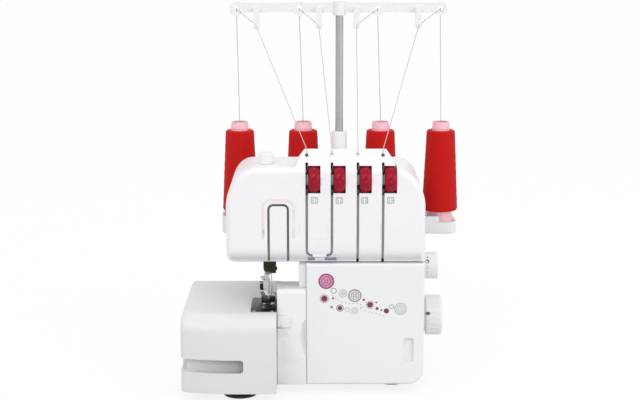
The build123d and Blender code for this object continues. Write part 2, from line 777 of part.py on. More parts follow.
with BuildPart() as base_plate:
    with BuildSketch(level(FLOOR_GAP)):
        # below the free arm
        with Locations((ARM_LEFT, ARM_FRONT)):
            Rectangle(BED_RIGHT - ARM_LEFT, ARM_REAR - ARM_FRONT, align=Align.MIN)
        fillet(vertices().group_by(Axis.X)[0], ARM_CORNER_R)
        # below the fixed bed
        with Locations((BED_RIGHT, BODY_FRONT + 6)):
            Rectangle(
                BODY_LEFT - BED_RIGHT - SEAM_GAP, SHELL_SEAM_Y - BODY_FRONT - 7, align=Align.MIN
            )
        with Locations((BED_RIGHT, BASE_FRONT)):
            Rectangle(
                BODY_LEFT + WALL - BED_RIGHT, SHELL_SEAM_Y - BASE_FRONT - 1, align=Align.MIN
            )
        # below the body
        with Locations((BODY_LEFT + WALL, BASE_FRONT)):
            Rectangle(
                BASE_RIGHT - BODY_LEFT - WALL, BASE_REAR - BASE_FRONT, align=Align.MIN
            )
    extrude(amount=BASE_THICKNESS)
    # a boss that guides the knife carrier's rod
    with BuildSketch(level(BASE_TOP)):
        with Locations((KNIFE_ROD_X, KNIFE_ROD_Y + 2)):
            RectangleRounded(KNIFE_BOSS_WIDTH, KNIFE_BOSS_WIDTH, KNIFE_BOSS_R)
    extrude(amount=KNIFE_BOSS_TOP - BASE_TOP)
    with BuildSketch(level(BASE_TOP + 2)):
        with Locations((KNIFE_ROD_X, KNIFE_ROD_Y)):
            Circle(KNIFE_ROD_R + RUNNING_FIT)
    extrude(amount=KNIFE_BOSS_TOP - BASE_TOP, mode=Mode.SUBTRACT)
    # lugs that carry the cover's hinge rod
    for lug_x in LUG_XS:
        with BuildSketch(facing_right(lug_x - LUG_WIDTH / 2)):
            with Locations((HINGE_Y, HINGE_Z)):
                Circle(LUG_R)
            with Locations((HINGE_Y, HINGE_Z - LUG_R)):
                Rectangle(BASE_FRONT + 4 - HINGE_Y, 2 * LUG_R, align=Align.MIN)
        extrude(amount=LUG_WIDTH)
    with BuildSketch(facing_right(BODY_LEFT)):
        with Locations((HINGE_Y, HINGE_Z)):
            Circle(HINGE_ROD_R + RUNNING_FIT)
    extrude(amount=BODY_RIGHT - BODY_LEFT, mode=Mode.SUBTRACT)
base_plate.part.label = "base_plate"
export_step(base_plate.part, "parts/base_plate.step")

# the bed between the flat bed and the body, raised at its front into a hood over the knives
with BuildPart() as fixed_bed:
    with BuildSketch(facing_right(BED_RIGHT + SEAM_GAP)):
        with BuildLine():
            Polyline(
                (BODY_FRONT, FLOOR_GAP),
                (BODY_FRONT, HOOD_TOP),
                (HOOD_REAR, HOOD_TOP),
                (HOOD_REAR, BED_TOP),
                (BED_REAR, BED_TOP),
                (BED_REAR, FLOOR_GAP),
                close=True,
            )
        make_face()
        fillet(vertices().group_by(Axis.Y)[-1], HOOD_R)
        fillet(vertices().sort_by_distance((BED_REAR, BED_TOP))[0], HOOD_R)
        offset(amount=-WALL, mode=Mode.SUBTRACT)
        with Locations((BODY_FRONT + WALL, FLOOR_GAP)):
            Rectangle(BED_REAR - BODY_FRONT - 2 * WALL, WALL, align=Align.MIN, mode=Mode.SUBTRACT)
    extrude(amount=BODY_LEFT - BED_RIGHT - 2 * SEAM_GAP)
    # the front continues past the body's side up to the looper cover
    with BuildSketch(facing_right(BODY_LEFT - SEAM_GAP)):
        with Locations((BODY_FRONT, FLOOR_GAP)):
            Rectangle(COVER_DEPTH, HOOD_TOP - FLOOR_GAP, align=Align.MIN)
        fillet(vertices().group_by(Axis.Y)[-1].sort_by(Axis.X)[0], HOOD_R)
    extrude(amount=POST_RIGHT - BODY_LEFT + SEAM_GAP)
    # a finger scoop beside the looper cover's edge
    with BuildSketch(Plane.XZ.offset(-BODY_FRONT + SCOOP_OFFSET)) as scoop_half:
        with Locations((POST_RIGHT, SCOOP_Z)):
            Ellipse(SCOOP_REACH, SCOOP_HEIGHT)
        with Locations((POST_RIGHT, SCOOP_Z)):
            Rectangle(
                SCOOP_REACH, 2 * SCOOP_HEIGHT, align=(Align.MAX, Align.CENTER), mode=Mode.INTERSECT
            )
    scoop_axis = Axis((POST_RIGHT, BODY_FRONT - SCOOP_OFFSET, SCOOP_Z), (0, 0, 1))
    revolve(axis=scoop_axis, mode=Mode.SUBTRACT)
    # the bore for the cover's hinge rod
    with BuildSketch(facing_right(BODY_LEFT + 1)):
        with Locations((HINGE_Y, HINGE_Z)):
            Circle(HINGE_ROD_R + RUNNING_FIT)
    extrude(amount=POST_RIGHT - BODY_LEFT, mode=Mode.SUBTRACT)
    # the slot for the stitch finger lever's stem
    with BuildSketch(facing_front(BODY_FRONT + 2 * WALL)):
        with Locations((LEVER_STEM_X - LEVER_STEM / 2 - SEAM_GAP, LEVER_Z)):
            Rectangle(
                LEVER_TRAVEL + LEVER_STEM + 2 * SEAM_GAP,
                LEVER_STEM + 2 * SEAM_GAP,
                align=(Align.MIN, Align.CENTER),
            )
    extrude(amount=3 * WALL, mode=Mode.SUBTRACT)
fixed_bed.part.label = "fixed_bed"
export_step(fixed_bed.part, "parts/fixed_bed.step")


def bed_plan(inset):
    """Plan of the flat bed, its front swept back towards the left end."""
    left, right = BED_LEFT + inset, BED_RIGHT + inset
    front, rear = BED_FRONT + inset, BED_REAR - inset
    with BuildSketch() as plan:
        with BuildLine():
            Line((right, rear), (right, front))
            Line((right, front), (right - BED_STRAIGHT, front))
            sweep_back = TangentArc(
                (right - BED_STRAIGHT, front), (left, front + BED_FRONT_SWEEP), tangent=(-1, 0)
            )
            Line(sweep_back @ 1, (left, rear))
            Line((left, rear), (right, rear))
        make_face()
    return plan.sketch


def bed_block(inset, bottom):
    """Solid of the flat bed over its plan, drawn in by inset at the sides and top."""
    with BuildPart() as block:
        with BuildSketch(level(bottom)):
            add(bed_plan(inset))
        extrude(amount=BED_TOP - inset - bottom)
        top = block.faces().sort_by(Axis.Z)[-1].edges()
        front_line = top.filter_by(lambda edge: edge.center().Y < BED_FRONT + 30)
        fillet(front_line, BED_FRONT_R - inset)
        left_face = block.faces().filter_by(Axis.X).sort_by(Axis.X)[0]
        left_rim = left_face.edges().filter_by(
            lambda edge: edge.center().Z > bottom + 1 and edge.center().Y < BED_REAR - inset - 1
        )
        fillet(left_rim, max(BED_SIDE_R - inset, 0.5))
    return block.part


bed_outer = bed_block(0, FLOOR_GAP)
bed_inner = bed_block(WALL, FLOOR_GAP - 1)
groove_floor = bed_block(FINGER_GROOVE_DEPTH, FLOOR_GAP - 1)
groove_back = bed_block(FINGER_GROOVE_DEPTH + WALL, FLOOR_GAP - 1)
GROOVE_HEIGHT = GROOVE_Z[1] - GROOVE_Z[0]

with BuildPart() as groove_liner:
    with Locations((BED_LEFT, BED_FRONT, GROOVE_Z[0] - WALL)):
        Box(
            FINGER_GROOVE_END + WALL - BED_LEFT,
            FINGER_GROOVE_ROOM,
            GROOVE_HEIGHT + 2 * WALL,
            align=Align.MIN,
        )
    add(bed_inner, mode=Mode.INTERSECT)
    add(groove_back, mode=Mode.SUBTRACT)

with BuildPart() as finger_groove:
    with BuildSketch(facing_front(BED_FRONT + FINGER_GROOVE_ROOM - 5)):
        with Locations((BED_LEFT - GROOVE_HEIGHT, GROOVE_Z[0])):
            Rectangle(
                FINGER_GROOVE_END - BED_LEFT + GROOVE_HEIGHT, GROOVE_HEIGHT, align=Align.MIN
            )
        fillet(vertices().group_by(Axis.X)[-1], FINGER_GROOVE_R)
    extrude(amount=FINGER_GROOVE_ROOM - 4)
    add(groove_floor, mode=Mode.SUBTRACT)

# the right end is closed only in front of the free arm, which the bed slides over
with BuildPart() as bed_end:
    with Locations((BED_RIGHT, BED_FRONT, FLOOR_GAP)):
        Box(
            WALL,
            ARM_FRONT - SEAM_GAP - BED_FRONT,
            BED_TOP - FLOOR_GAP,
            align=(Align.MAX, Align.MIN, Align.MIN),
        )
    add(bed_outer, mode=Mode.INTERSECT)

with BuildPart() as flat_bed:
    add(bed_outer)
    add(bed_inner, mode=Mode.SUBTRACT)
    add(bed_end.part)
    add(groove_liner.part)
    add(finger_groove.part, mode=Mode.SUBTRACT)
    # the notch that lets the needle plate lie flush, open to the right
    with Locations((PLATE_LEFT - SEAM_GAP, PLATE_FRONT - SEAM_GAP, BED_TOP - 2 * WALL)):
        Box(
            BED_RIGHT - PLATE_LEFT + 1,
            PLATE_REAR - PLATE_FRONT + 2 * SEAM_GAP,
            3 * WALL,
            align=Align.MIN,
            mode=Mode.SUBTRACT,
        )
flat_bed.part.label = "flat_bed"
export_step(flat_bed.part, "parts/flat_bed.step")

ARM_TOP = BED_TOP - PLATE_THICKNESS
with BuildPart() as free_arm_cover:
    with BuildSketch(level(BASE_TOP)):
        with Locations((ARM_LEFT, ARM_FRONT)):
            Rectangle(BED_RIGHT - SEAM_GAP - ARM_LEFT, ARM_REAR - ARM_FRONT, align=Align.MIN)
        fillet(vertices().group_by(Axis.X)[0], ARM_CORNER_R)
    extrude(amount=ARM_TOP - BASE_TOP)
    offset(
        amount=-WALL,
        openings=[faces().sort_by(Axis.X)[-1], faces().sort_by(Axis.Z)[0]],
        mode=Mode.REPLACE,
    )
    # the end wall, where the arm stands out in front of the fixed bed
    with Locations((BED_RIGHT - SEAM_GAP, ARM_FRONT + WALL / 2, BASE_TOP)):
        Box(
            WALL,
            BODY_FRONT + WALL - ARM_FRONT,
            ARM_TOP - WALL / 2 - BASE_TOP,
            align=(Align.MAX, Align.MIN, Align.MIN),
        )
    # the working window under the needle plate
    with Locations(
        (PLATE_LEFT + ARM_WINDOW_LEFT, PLATE_FRONT + ARM_WINDOW_MARGIN, ARM_TOP - 2 * WALL)
    ):
        Box(
            BED_RIGHT - PLATE_LEFT,
            PLATE_REAR - PLATE_FRONT - 2 * ARM_WINDOW_MARGIN,
            3 * WALL,
            align=Align.MIN,
            mode=Mode.SUBTRACT,
        )
    # the looper window in the front wall
    with BuildSketch(facing_front(ARM_FRONT + 2 * WALL)):
        with Locations((PLATE_LEFT + ARM_WINDOW_LEFT, BASE_TOP + LOOPER_WINDOW_LIFT)):
            RectangleRounded(
                BED_RIGHT - PLATE_LEFT - 4 * ARM_WINDOW_LEFT,
                LOOPER_WINDOW_HEIGHT,
                LOOPER_WINDOW_R,
                align=Align.MIN,
            )
    extrude(amount=3 * WALL, mode=Mode.SUBTRACT)
free_arm_cover.part.label = "free_arm_cover"
export_step(free_arm_cover.part, "parts/free_arm_cover.step")

with BuildPart() as needle_plate:
    with BuildSketch(level(ARM_TOP)):
        with Locations((PLATE_LEFT, PLATE_FRONT)):
            Rectangle(
                BED_RIGHT - SEAM_GAP - PLATE_LEFT, PLATE_REAR - PLATE_FRONT, align=Align.MIN
            )
        fillet(vertices().group_by(Axis.X)[0], PLATE_CORNER_R)
        # feed slots and needle slot
        with Locations(*[(x, NEEDLE_Y) for x in FEED_SLOT_XS]):
            Rectangle(*FEED_SLOT_SIZE, mode=Mode.SUBTRACT)
        with Locations((NEEDLE_X, NEEDLE_Y)):
            SlotOverall(NEEDLE_PITCH + NEEDLE_SLOT_MARGIN, NEEDLE_SLOT_WIDTH, mode=Mode.SUBTRACT)
    extrude(amount=PLATE_THICKNESS)
    screw_ys = (PLATE_FRONT + PLATE_SCREW_MARGIN, PLATE_REAR - PLATE_SCREW_MARGIN)
    with Locations(*[(PLATE_SCREW_X, y, BED_TOP) for y in screw_ys]):
        CounterSinkHole(PLATE_SCREW_R, PLATE_SCREW_HEAD_R)
needle_plate.part.label = "needle_plate"
export_step(needle_plate.part, "parts/needle_plate.step")

# ================================================================ casting
ARM_UNDERSIDE = 215.0
GUIDE_ZS = (180.0, 232.0)
GUIDE_HEIGHT = 12.0
GUIDE_LEFT = PRESSER_X - 9.0
GUIDE_WIDTH = 27.0
GUIDE_NOSE = 8.0
GUIDE_R = 6.0
WEB_WIDTH = 6.0
WEB_OVERLAP = 20.0
LOOPER_PIVOTS = {"lower": (-15.0, 45.0), "upper": (12.0, 64.0)}
LOOPER_PIN_R = 4.0
LIFTER_Y = -24.0
LIFTER_Z = GUIDE_ZS[0] + GUIDE_HEIGHT / 2
LIFTER_PIN_R = 2.0
LIFTER_HUB_R = 5.0
LIFTER_EAR_THICKNESS = 3.5

with BuildPart() as main_frame:
    with BuildSketch(facing_front(FRAME_REAR)):
        with BuildLine():
            Polyline(
                (FRAME_LEFT, BASE_TOP),
                (FRAME_RIGHT, BASE_TOP),
                (FRAME_RIGHT, FRAME_ARM_TOP),
                (FRAME_ARM_LEFT, FRAME_ARM_TOP),
                (FRAME_ARM_LEFT, ARM_UNDERSIDE),
                (COLUMN_LEFT, ARM_UNDERSIDE),
                (COLUMN_LEFT, FRAME_BED_TOP),
                (FRAME_LEFT, FRAME_BED_TOP),
                close=True,
            )
        make_face()
        for corner, corner_r in (
            ((COLUMN_LEFT, ARM_UNDERSIDE), FRAME_INNER_R),
            ((COLUMN_LEFT, FRAME_BED_TOP), FRAME_INNER_R),
            ((FRAME_LEFT, FRAME_BED_TOP), FRAME_OUTER_R),
            ((FRAME_ARM_LEFT, FRAME_ARM_TOP), FRAME_OUTER_R),
        ):
            fillet(vertices().sort_by_distance(corner)[0], corner_r)
        with Locations(COLUMN_WINDOW_PLACE):
            RectangleRounded(*COLUMN_WINDOW_SIZE, COLUMN_WINDOW_R, mode=Mode.SUBTRACT)
        with Locations(BED_WINDOW_PLACE):
            RectangleRounded(*BED_WINDOW_SIZE, BED_WINDOW_R, mode=Mode.SUBTRACT)
    extrude(amount=FRAME_REAR - FRAME_FRONT)
    # two guides for the needle bar and presser bar
    for guide_z in GUIDE_ZS:
        with BuildSketch(level(guide_z)):
            with Locations((GUIDE_LEFT, NEEDLE_Y - GUIDE_NOSE)):
                Rectangle(GUIDE_WIDTH, FRAME_REAR - NEEDLE_Y + GUIDE_NOSE, align=Align.MIN)
            fillet(vertices().group_by(Axis.Y)[0], GUIDE_R)
        extrude(amount=GUIDE_HEIGHT)
    # ears behind the lower guide that carry the presser lifter
    for ear_x in (GUIDE_LEFT, GUIDE_LEFT + GUIDE_WIDTH - LIFTER_EAR_THICKNESS):
        with BuildSketch(facing_right(ear_x)):
            with Locations((FRAME_REAR, GUIDE_ZS[0])):
                Rectangle(LIFTER_Y - FRAME_REAR, GUIDE_HEIGHT, align=Align.MIN)
            with Locations((LIFTER_Y, LIFTER_Z)):
                Circle(GUIDE_HEIGHT / 2)
                Circle(LIFTER_PIN_R, mode=Mode.SUBTRACT)
        extrude(amount=LIFTER_EAR_THICKNESS)
    # the web that joins the lower guide to the arm
    with Locations((GUIDE_LEFT + GUIDE_WIDTH - WEB_WIDTH, FRAME_FRONT, GUIDE_ZS[0])):
        Box(
            WEB_WIDTH,
            FRAME_REAR - FRAME_FRONT,
            ARM_UNDERSIDE - GUIDE_ZS[0] + WEB_OVERLAP,
            align=Align.MIN,
        )
    with Locations((NEEDLE_X, NEEDLE_Y), (PRESSER_X, PRESSER_Y)):
        Hole(BAR_R + RUNNING_FIT)
    # bearing blocks of the main shaft
    for bearing_x in BEARING_XS:
        with BuildSketch(facing_right(bearing_x)):
            with Locations((FRAME_REAR, SHAFT_Z - BEARING_R)):
                Rectangle(SHAFT_Y - FRAME_REAR, 2 * BEARING_R, align=Align.MIN)
            with Locations((SHAFT_Y, SHAFT_Z)):
                Circle(BEARING_R)
        extrude(amount=BEARING_WIDTH)
    with BuildSketch(facing_right(BEARING_XS[0] - 5)):
        with Locations((SHAFT_Y, SHAFT_Z)):
            Circle(SHAFT_R + RUNNING_FIT)
    extrude(amount=BEARING_XS[-1] - BEARING_XS[0] + BEARING_WIDTH + 10, mode=Mode.SUBTRACT)
    # blind bore for the stitch length spindle
    with BuildSketch(facing_right(FRAME_RIGHT - STITCH_SPINDLE_SEAT - 4)):
        with Locations((STITCH_DIAL_Y, STITCH_DIAL_Z)):
            Circle(STITCH_SPINDLE_R + RUNNING_FIT)
    extrude(amount=STITCH_SPINDLE_SEAT + 10, mode=Mode.SUBTRACT)
    # bores for the looper pins
    with BuildSketch(facing_front(FRAME_REAR + 1)):
        with Locations(*LOOPER_PIVOTS.values()):
            Circle(LOOPER_PIN_R)
    extrude(amount=FRAME_REAR - FRAME_FRONT + 2, mode=Mode.SUBTRACT)
main_frame.part.label = "main_frame"
export_step(main_frame.part, "parts/main_frame.step")

# ================================================================ drive
with BuildPart() as main_shaft:
    with BuildSketch(facing_right(SHAFT_LEFT)):
        with Locations((SHAFT_Y, SHAFT_Z)):
            Circle(SHAFT_R)
    extrude(amount=HANDWHEEL_X + HANDWHEEL_HUB - SHAFT_LEFT)
main_shaft.part.label = "main_shaft"
export_step(main_shaft.part, "parts/main_shaft.step")

with BuildPart() as shaft_pulley:
    with BuildSketch(facing_right(PULLEY_X)):
        with Locations((SHAFT_Y, SHAFT_Z)):
            Circle(SHAFT_PULLEY_R)
            Circle(SHAFT_R, mode=Mode.SUBTRACT)
            with PolarLocations(PULLEY_HOLE_RING_R, PULLEY_HOLE_COUNT):
                Circle(PULLEY_HOLE_R, mode=Mode.SUBTRACT)
    extrude(amount=PULLEY_WIDTH)
shaft_pulley.part.label = "shaft_pulley"
export_step(shaft_pulley.part, "parts/shaft_pulley.step")

with BuildPart() as handwheel:
    with BuildSketch(half_section(HANDWHEEL_X, SHAFT_Y, SHAFT_Z)):
        with BuildLine():
            Polyline(
                (SHAFT_R, 0),
                (HANDWHEEL_R - HANDWHEEL_STEP, 0),
                (HANDWHEEL_R - HANDWHEEL_STEP, HANDWHEEL_STEP),
                (HANDWHEEL_R, HANDWHEEL_STEP),
                (HANDWHEEL_R, HANDWHEEL_WIDTH),
                (0, HANDWHEEL_WIDTH),
                (0, HANDWHEEL_HUB),
                (SHAFT_R, HANDWHEEL_HUB),
                close=True,
            )
        make_face()
        fillet(
            vertices().sort_by_distance((HANDWHEEL_R, HANDWHEEL_WIDTH))[0], HANDWHEEL_EDGE_R
        )
    revolve(axis=axle(HANDWHEEL_X, SHAFT_Y, SHAFT_Z))
    # finger hollows round the rim
    with BuildSketch(facing_right(HANDWHEEL_X + HOLLOW_START)):
        with Locations((SHAFT_Y, SHAFT_Z)):
            with PolarLocations(HANDWHEEL_R + HOLLOW_R - HOLLOW_DEPTH, HOLLOW_COUNT):
                Circle(HOLLOW_R)
    extrude(amount=HOLLOW_LENGTH, mode=Mode.SUBTRACT)
handwheel.part.label = "handwheel"
export_step(handwheel.part, "parts/handwheel.step")

MOTOR_RIGHT = MOTOR_LEFT + MOTOR_LENGTH
with BuildPart() as motor:
    with BuildSketch(facing_right(MOTOR_LEFT)):
        with Locations((MOTOR_Y, MOTOR_Z)):
            Circle(MOTOR_R)
    extrude(amount=MOTOR_LENGTH)
    chamfer(edges().filter_by(GeomType.CIRCLE), MOTOR_EDGE)
    with BuildSketch(facing_right(MOTOR_RIGHT)):
        with Locations((MOTOR_Y, MOTOR_Z)):
            Circle(MOTOR_NOSE_R)
            Circle(MOTOR_SHAFT_R + RUNNING_FIT, mode=Mode.SUBTRACT)
    extrude(amount=MOTOR_NOSE_LENGTH)
    with BuildSketch(facing_right(MOTOR_RIGHT - MOTOR_SHAFT_SEAT)):
        with Locations((MOTOR_Y, MOTOR_Z)):
            Circle(MOTOR_SHAFT_R + RUNNING_FIT)
    extrude(amount=MOTOR_SHAFT_SEAT, mode=Mode.SUBTRACT)
    # two feet that stand the motor on the base
    for foot_x in MOTOR_FOOT_XS:
        with Locations((foot_x, MOTOR_Y - MOTOR_FOOT_LENGTH / 2, BASE_TOP)):
            Box(
                MOTOR_FOOT_WIDTH,
                MOTOR_FOOT_LENGTH,
                MOTOR_Z - MOTOR_R - BASE_TOP + MOTOR_FOOT_OVERLAP,
                align=Align.MIN,
            )
motor.part.label = "motor"
export_step(motor.part, "parts/motor.step")

spindle_left = MOTOR_RIGHT - MOTOR_SHAFT_SEAT + 1
spindle_length = PULLEY_X - spindle_left
with BuildPart() as motor_pulley:
    with BuildSketch(half_section(spindle_left, MOTOR_Y, MOTOR_Z)):
        with BuildLine():
            Polyline(
                (0, 0),
                (MOTOR_SHAFT_R, 0),
                (MOTOR_SHAFT_R, spindle_length),
                (MOTOR_PULLEY_R, spindle_length),
                (MOTOR_PULLEY_R, spindle_length + PULLEY_WIDTH),
                (0, spindle_length + PULLEY_WIDTH),
                close=True,
            )
        make_face()
    revolve(axis=axle(spindle_left, MOTOR_Y, MOTOR_Z))
motor_pulley.part.label = "motor_pulley"
export_step(motor_pulley.part, "parts/motor_pulley.step")

with BuildPart() as drive_belt:
    with BuildSketch(facing_right(PULLEY_X + BELT_MARGIN)):
        for grow, mode in ((BELT_GAP + BELT_THICKNESS, Mode.ADD), (BELT_GAP, Mode.SUBTRACT)):
            with BuildSketch(mode=Mode.PRIVATE) as loop:
                with Locations((SHAFT_Y, SHAFT_Z)):
                    Circle(SHAFT_PULLEY_R + grow)
                with Locations((MOTOR_Y, MOTOR_Z)):
                    Circle(MOTOR_PULLEY_R + grow)
                make_hull()
            add(loop.sketch, mode=mode)
    extrude(amount=PULLEY_WIDTH - 2 * BELT_MARGIN)
drive_belt.part.label = "drive_belt"
export_step(drive_belt.part, "parts/drive_belt.step")

spindle_reach = STITCH_DIAL_X - FRAME_RIGHT + STITCH_SPINDLE_SEAT
with BuildPart() as stitch_length_dial:
    with BuildSketch(half_section(STITCH_DIAL_X, STITCH_DIAL_Y, STITCH_DIAL_Z)):
        with BuildLine():
            Polyline(
                (0, -spindle_reach),
                (STITCH_SPINDLE_R, -spindle_reach),
                (STITCH_SPINDLE_R, 0),
                (STITCH_DIAL_R, 0),
                (STITCH_DIAL_R, STITCH_DIAL_WIDTH),
                (0, STITCH_DIAL_WIDTH),
                close=True,
            )
        make_face()
        rim = vertices().sort_by_distance((STITCH_DIAL_R, STITCH_DIAL_WIDTH))[0]
        fillet(rim, STITCH_DIAL_EDGE_R)
    revolve(axis=axle(STITCH_DIAL_X, STITCH_DIAL_Y, STITCH_DIAL_Z))
stitch_length_dial.part.label = "stitch_length_dial"
export_step(stitch_length_dial.part, "parts/stitch_length_dial.step")

with BuildPart() as power_inlet:
    with BuildSketch(facing_right(BODY_RIGHT - INLET_DEPTH)):
        with Locations((SOCKET_Y, INLET_Z)):
            Rectangle(*INLET_SIZE)
    extrude(amount=INLET_DEPTH)
    with BuildSketch(facing_right(BODY_RIGHT - INLET_POCKET_DEPTH)):
        with Locations((SOCKET_Y, INLET_Z)):
            SlotOverall(*INLET_POCKET_SIZE)
    extrude(amount=INLET_POCKET_DEPTH, mode=Mode.SUBTRACT)
    with BuildSketch(facing_right(BODY_RIGHT - INLET_POCKET_DEPTH)):
        with Locations((SOCKET_Y, INLET_Z)):
            with GridLocations(INLET_PIN_PITCH, 0, 2, 1):
                Circle(INLET_PIN_R)
    extrude(amount=INLET_PIN_LENGTH)
power_inlet.part.label = "power_inlet"
export_step(power_inlet.part, "parts/power_inlet.step")

with BuildPart() as switch_housing:
    with BuildSketch(facing_right(BODY_RIGHT - SWITCH_DEPTH)):
        with Locations((SOCKET_Y, SWITCH_Z)):
            Rectangle(*SWITCH_SIZE)
            Rectangle(SWITCH_SIZE[0] - WALL, SWITCH_SIZE[1] - WALL, mode=Mode.SUBTRACT)
    extrude(amount=SWITCH_DEPTH + SWITCH_RIM)
switch_housing.part.label = "switch_housing"
export_step(switch_housing.part, "parts/switch_housing.step")

ROCKER_WIDTH = SWITCH_SIZE[0] - WALL - 2 * SEAM_GAP
with BuildPart() as power_switch:
    with BuildSketch(facing_front(SOCKET_Y + ROCKER_WIDTH / 2)):
        with BuildLine():
            Polyline(
                (BODY_RIGHT - ROCKER_DEPTH, SWITCH_Z - ROCKER_FOOT),
                (BODY_RIGHT - ROCKER_DEPTH, SWITCH_Z + ROCKER_FOOT),
                (BODY_RIGHT + ROCKER_RISE, SWITCH_Z + ROCKER_REACH),
                (BODY_RIGHT - ROCKER_DIP, SWITCH_Z),
                (BODY_RIGHT + ROCKER_RISE, SWITCH_Z - ROCKER_REACH),
                close=True,
            )
        make_face()
    extrude(amount=ROCKER_WIDTH)
power_switch.part.label = "power_switch"
export_step(power_switch.part, "parts/power_switch.step")

# ================================================================ thread tension
with BuildPart() as tension_frame:
    plate_wide, plate_thick, plate_high = TENSION_PLATE_SIZE
    plate_corner = (SLOT_XS[0] - TENSION_PLATE_MARGIN, DIAL_BACK_Y, DIAL_Z - TENSION_PLATE_DROP)
    with Locations(plate_corner):
        Box(SLOT_XS[-1] - SLOT_XS[0] + plate_wide, plate_thick, plate_high, align=Align.MIN)
    # an ear for each spindle, reaching forwards from the plate
    for slot_x in SLOT_XS:
        with BuildSketch(facing_right(slot_x - TENSION_EAR_REACH)):
            with Locations((DIAL_Y, DIAL_Z - TENSION_EAR_R)):
                Rectangle(DIAL_R + 2, 2 * TENSION_EAR_R, align=Align.MIN)
            with Locations((DIAL_Y, DIAL_Z)):
                Circle(TENSION_EAR_R)
                Circle(SPINDLE_R, mode=Mode.SUBTRACT)
        extrude(amount=TENSION_EAR_THICKNESS)
    # stand-offs to the casting
    with BuildSketch(facing_front(FRAME_FRONT)):
        with Locations(*[(x, DIAL_Z - STAND_OFF_DROP) for x in STAND_OFF_XS]):
            Circle(STAND_OFF_R)
    extrude(amount=FRAME_FRONT - DIAL_BACK_Y - plate_thick)
tension_frame.part.label = "tension_frame"
export_step(tension_frame.part, "parts/tension_frame.step")

with BuildPart() as tension_spindles:
    for slot_x in SLOT_XS:
        with BuildSketch(facing_right(slot_x - TENSION_EAR_REACH - 1)):
            with Locations((DIAL_Y, DIAL_Z)):
                Circle(SPINDLE_R)
        extrude(amount=SPINDLE_LENGTH)
tension_spindles.part.label = "tension_spindles"
export_step(tension_spindles.part, "parts/tension_spindles.step")

with BuildPart() as tension_discs:
    for slot_x in SLOT_XS:
        for disc_offset in DISC_OFFSETS:
            with BuildSketch(facing_right(slot_x + disc_offset)):
                with Locations((DIAL_Y, DIAL_Z)):
                    Circle(DISC_R)
                    Circle(SPINDLE_R, mode=Mode.SUBTRACT)
            extrude(amount=DISC_THICKNESS)
tension_discs.part.label = "tension_discs"
export_step(tension_discs.part, "parts/tension_discs.step")

for number, slot_x in enumerate(SLOT_XS, start=1):
    dial_x = slot_x + SLOT_WIDTH / 2 + DIAL_GAP
    with BuildPart() as tension_dial:
        with BuildSketch(half_section(dial_x, DIAL_Y, DIAL_Z)):
            with BuildLine():
                Polyline(
                    (DIAL_R - DIAL_CROWN, 0),
                    (SPINDLE_R + RUNNING_FIT, 0),
                    (SPINDLE_R + RUNNING_FIT, DIAL_WIDTH),
                    (DIAL_R - DIAL_CROWN, DIAL_WIDTH),
                )
                ThreePointArc(
                    (DIAL_R - DIAL_CROWN, DIAL_WIDTH), (DIAL_R, DIAL_WIDTH / 2), (DIAL_R - DIAL_CROWN, 0)
                )
            make_face()
        revolve(axis=axle(dial_x, DIAL_Y, DIAL_Z))
    tension_dial.part.label = f"tension_dial_{number}"
    export_step(tension_dial.part, f"parts/tension_dial_{number}.step")

# ================================================================ needle bar and presser
with BuildPart() as needle_bar:
    with BuildSketch(level(CLAMP_BOTTOM + CLAMP_SOCKET)):
        with Locations((NEEDLE_X, NEEDLE_Y)):
            Circle(BAR_R)
    extrude(amount=NEEDLE_BAR_TOP - CLAMP_BOTTOM - CLAMP_SOCKET)
    chamfer(edges().sort_by(Axis.Z)[-1], 0.8)
needle_bar.part.label = "needle_bar"
export_step(needle_bar.part, "parts/needle_bar.step")

needle_places = [(NEEDLE_X + side * NEEDLE_PITCH / 2, NEEDLE_Y) for side in (-1, 1)]
with BuildPart() as needle_clamp:
    with BuildSketch(level(CLAMP_BOTTOM)):
        with Locations((NEEDLE_X, NEEDLE_Y)):
            RectangleRounded(CLAMP_WIDTH, CLAMP_DEPTH, CLAMP_CORNER_R)
    extrude(amount=CLAMP_HEIGHT)
    chamfer(edges().group_by(Axis.Z)[0], CLAMP_CHAMFER)
    with BuildSketch(level(CLAMP_BOTTOM + CLAMP_SOCKET)):
        with Locations((NEEDLE_X, NEEDLE_Y)):
            Circle(BAR_R)
    extrude(amount=CLAMP_HEIGHT, mode=Mode.SUBTRACT)
    with BuildSketch(level(CLAMP_BOTTOM)):
        with Locations(*needle_places):
            Circle(NEEDLE_R + NEEDLE_FIT)
    extrude(amount=CLAMP_SOCKET, mode=Mode.SUBTRACT)
    with BuildSketch(facing_front(NEEDLE_Y - CLAMP_DEPTH / 2)):
        with Locations((NEEDLE_X, CLAMP_BOTTOM + CLAMP_SCREW_HEIGHT)):
            with GridLocations(2 * CLAMP_SCREW_SPREAD, 0, 2, 1):
                Circle(CLAMP_SCREW_R)
    extrude(amount=CLAMP_SCREW_HEAD)
needle_clamp.part.label = "needle_clamp"
export_step(needle_clamp.part, "parts/needle_clamp.step")

with BuildPart() as needles:
    with BuildSketch(level(CLAMP_BOTTOM - NEEDLE_LENGTH + NEEDLE_POINT)):
        with Locations(*needle_places):
            Circle(NEEDLE_R)
    extrude(amount=NEEDLE_LENGTH - NEEDLE_POINT + CLAMP_SOCKET)
    for needle_x, needle_y in needle_places:
        with Locations((needle_x, needle_y, CLAMP_BOTTOM - NEEDLE_LENGTH)):
            Cone(
                NEEDLE_TIP_R,
                NEEDLE_R,
                NEEDLE_POINT,
                align=(Align.CENTER, Align.CENTER, Align.MIN),
            )
needles.part.label = "needles"
export_step(needles.part, "parts/needles.step")

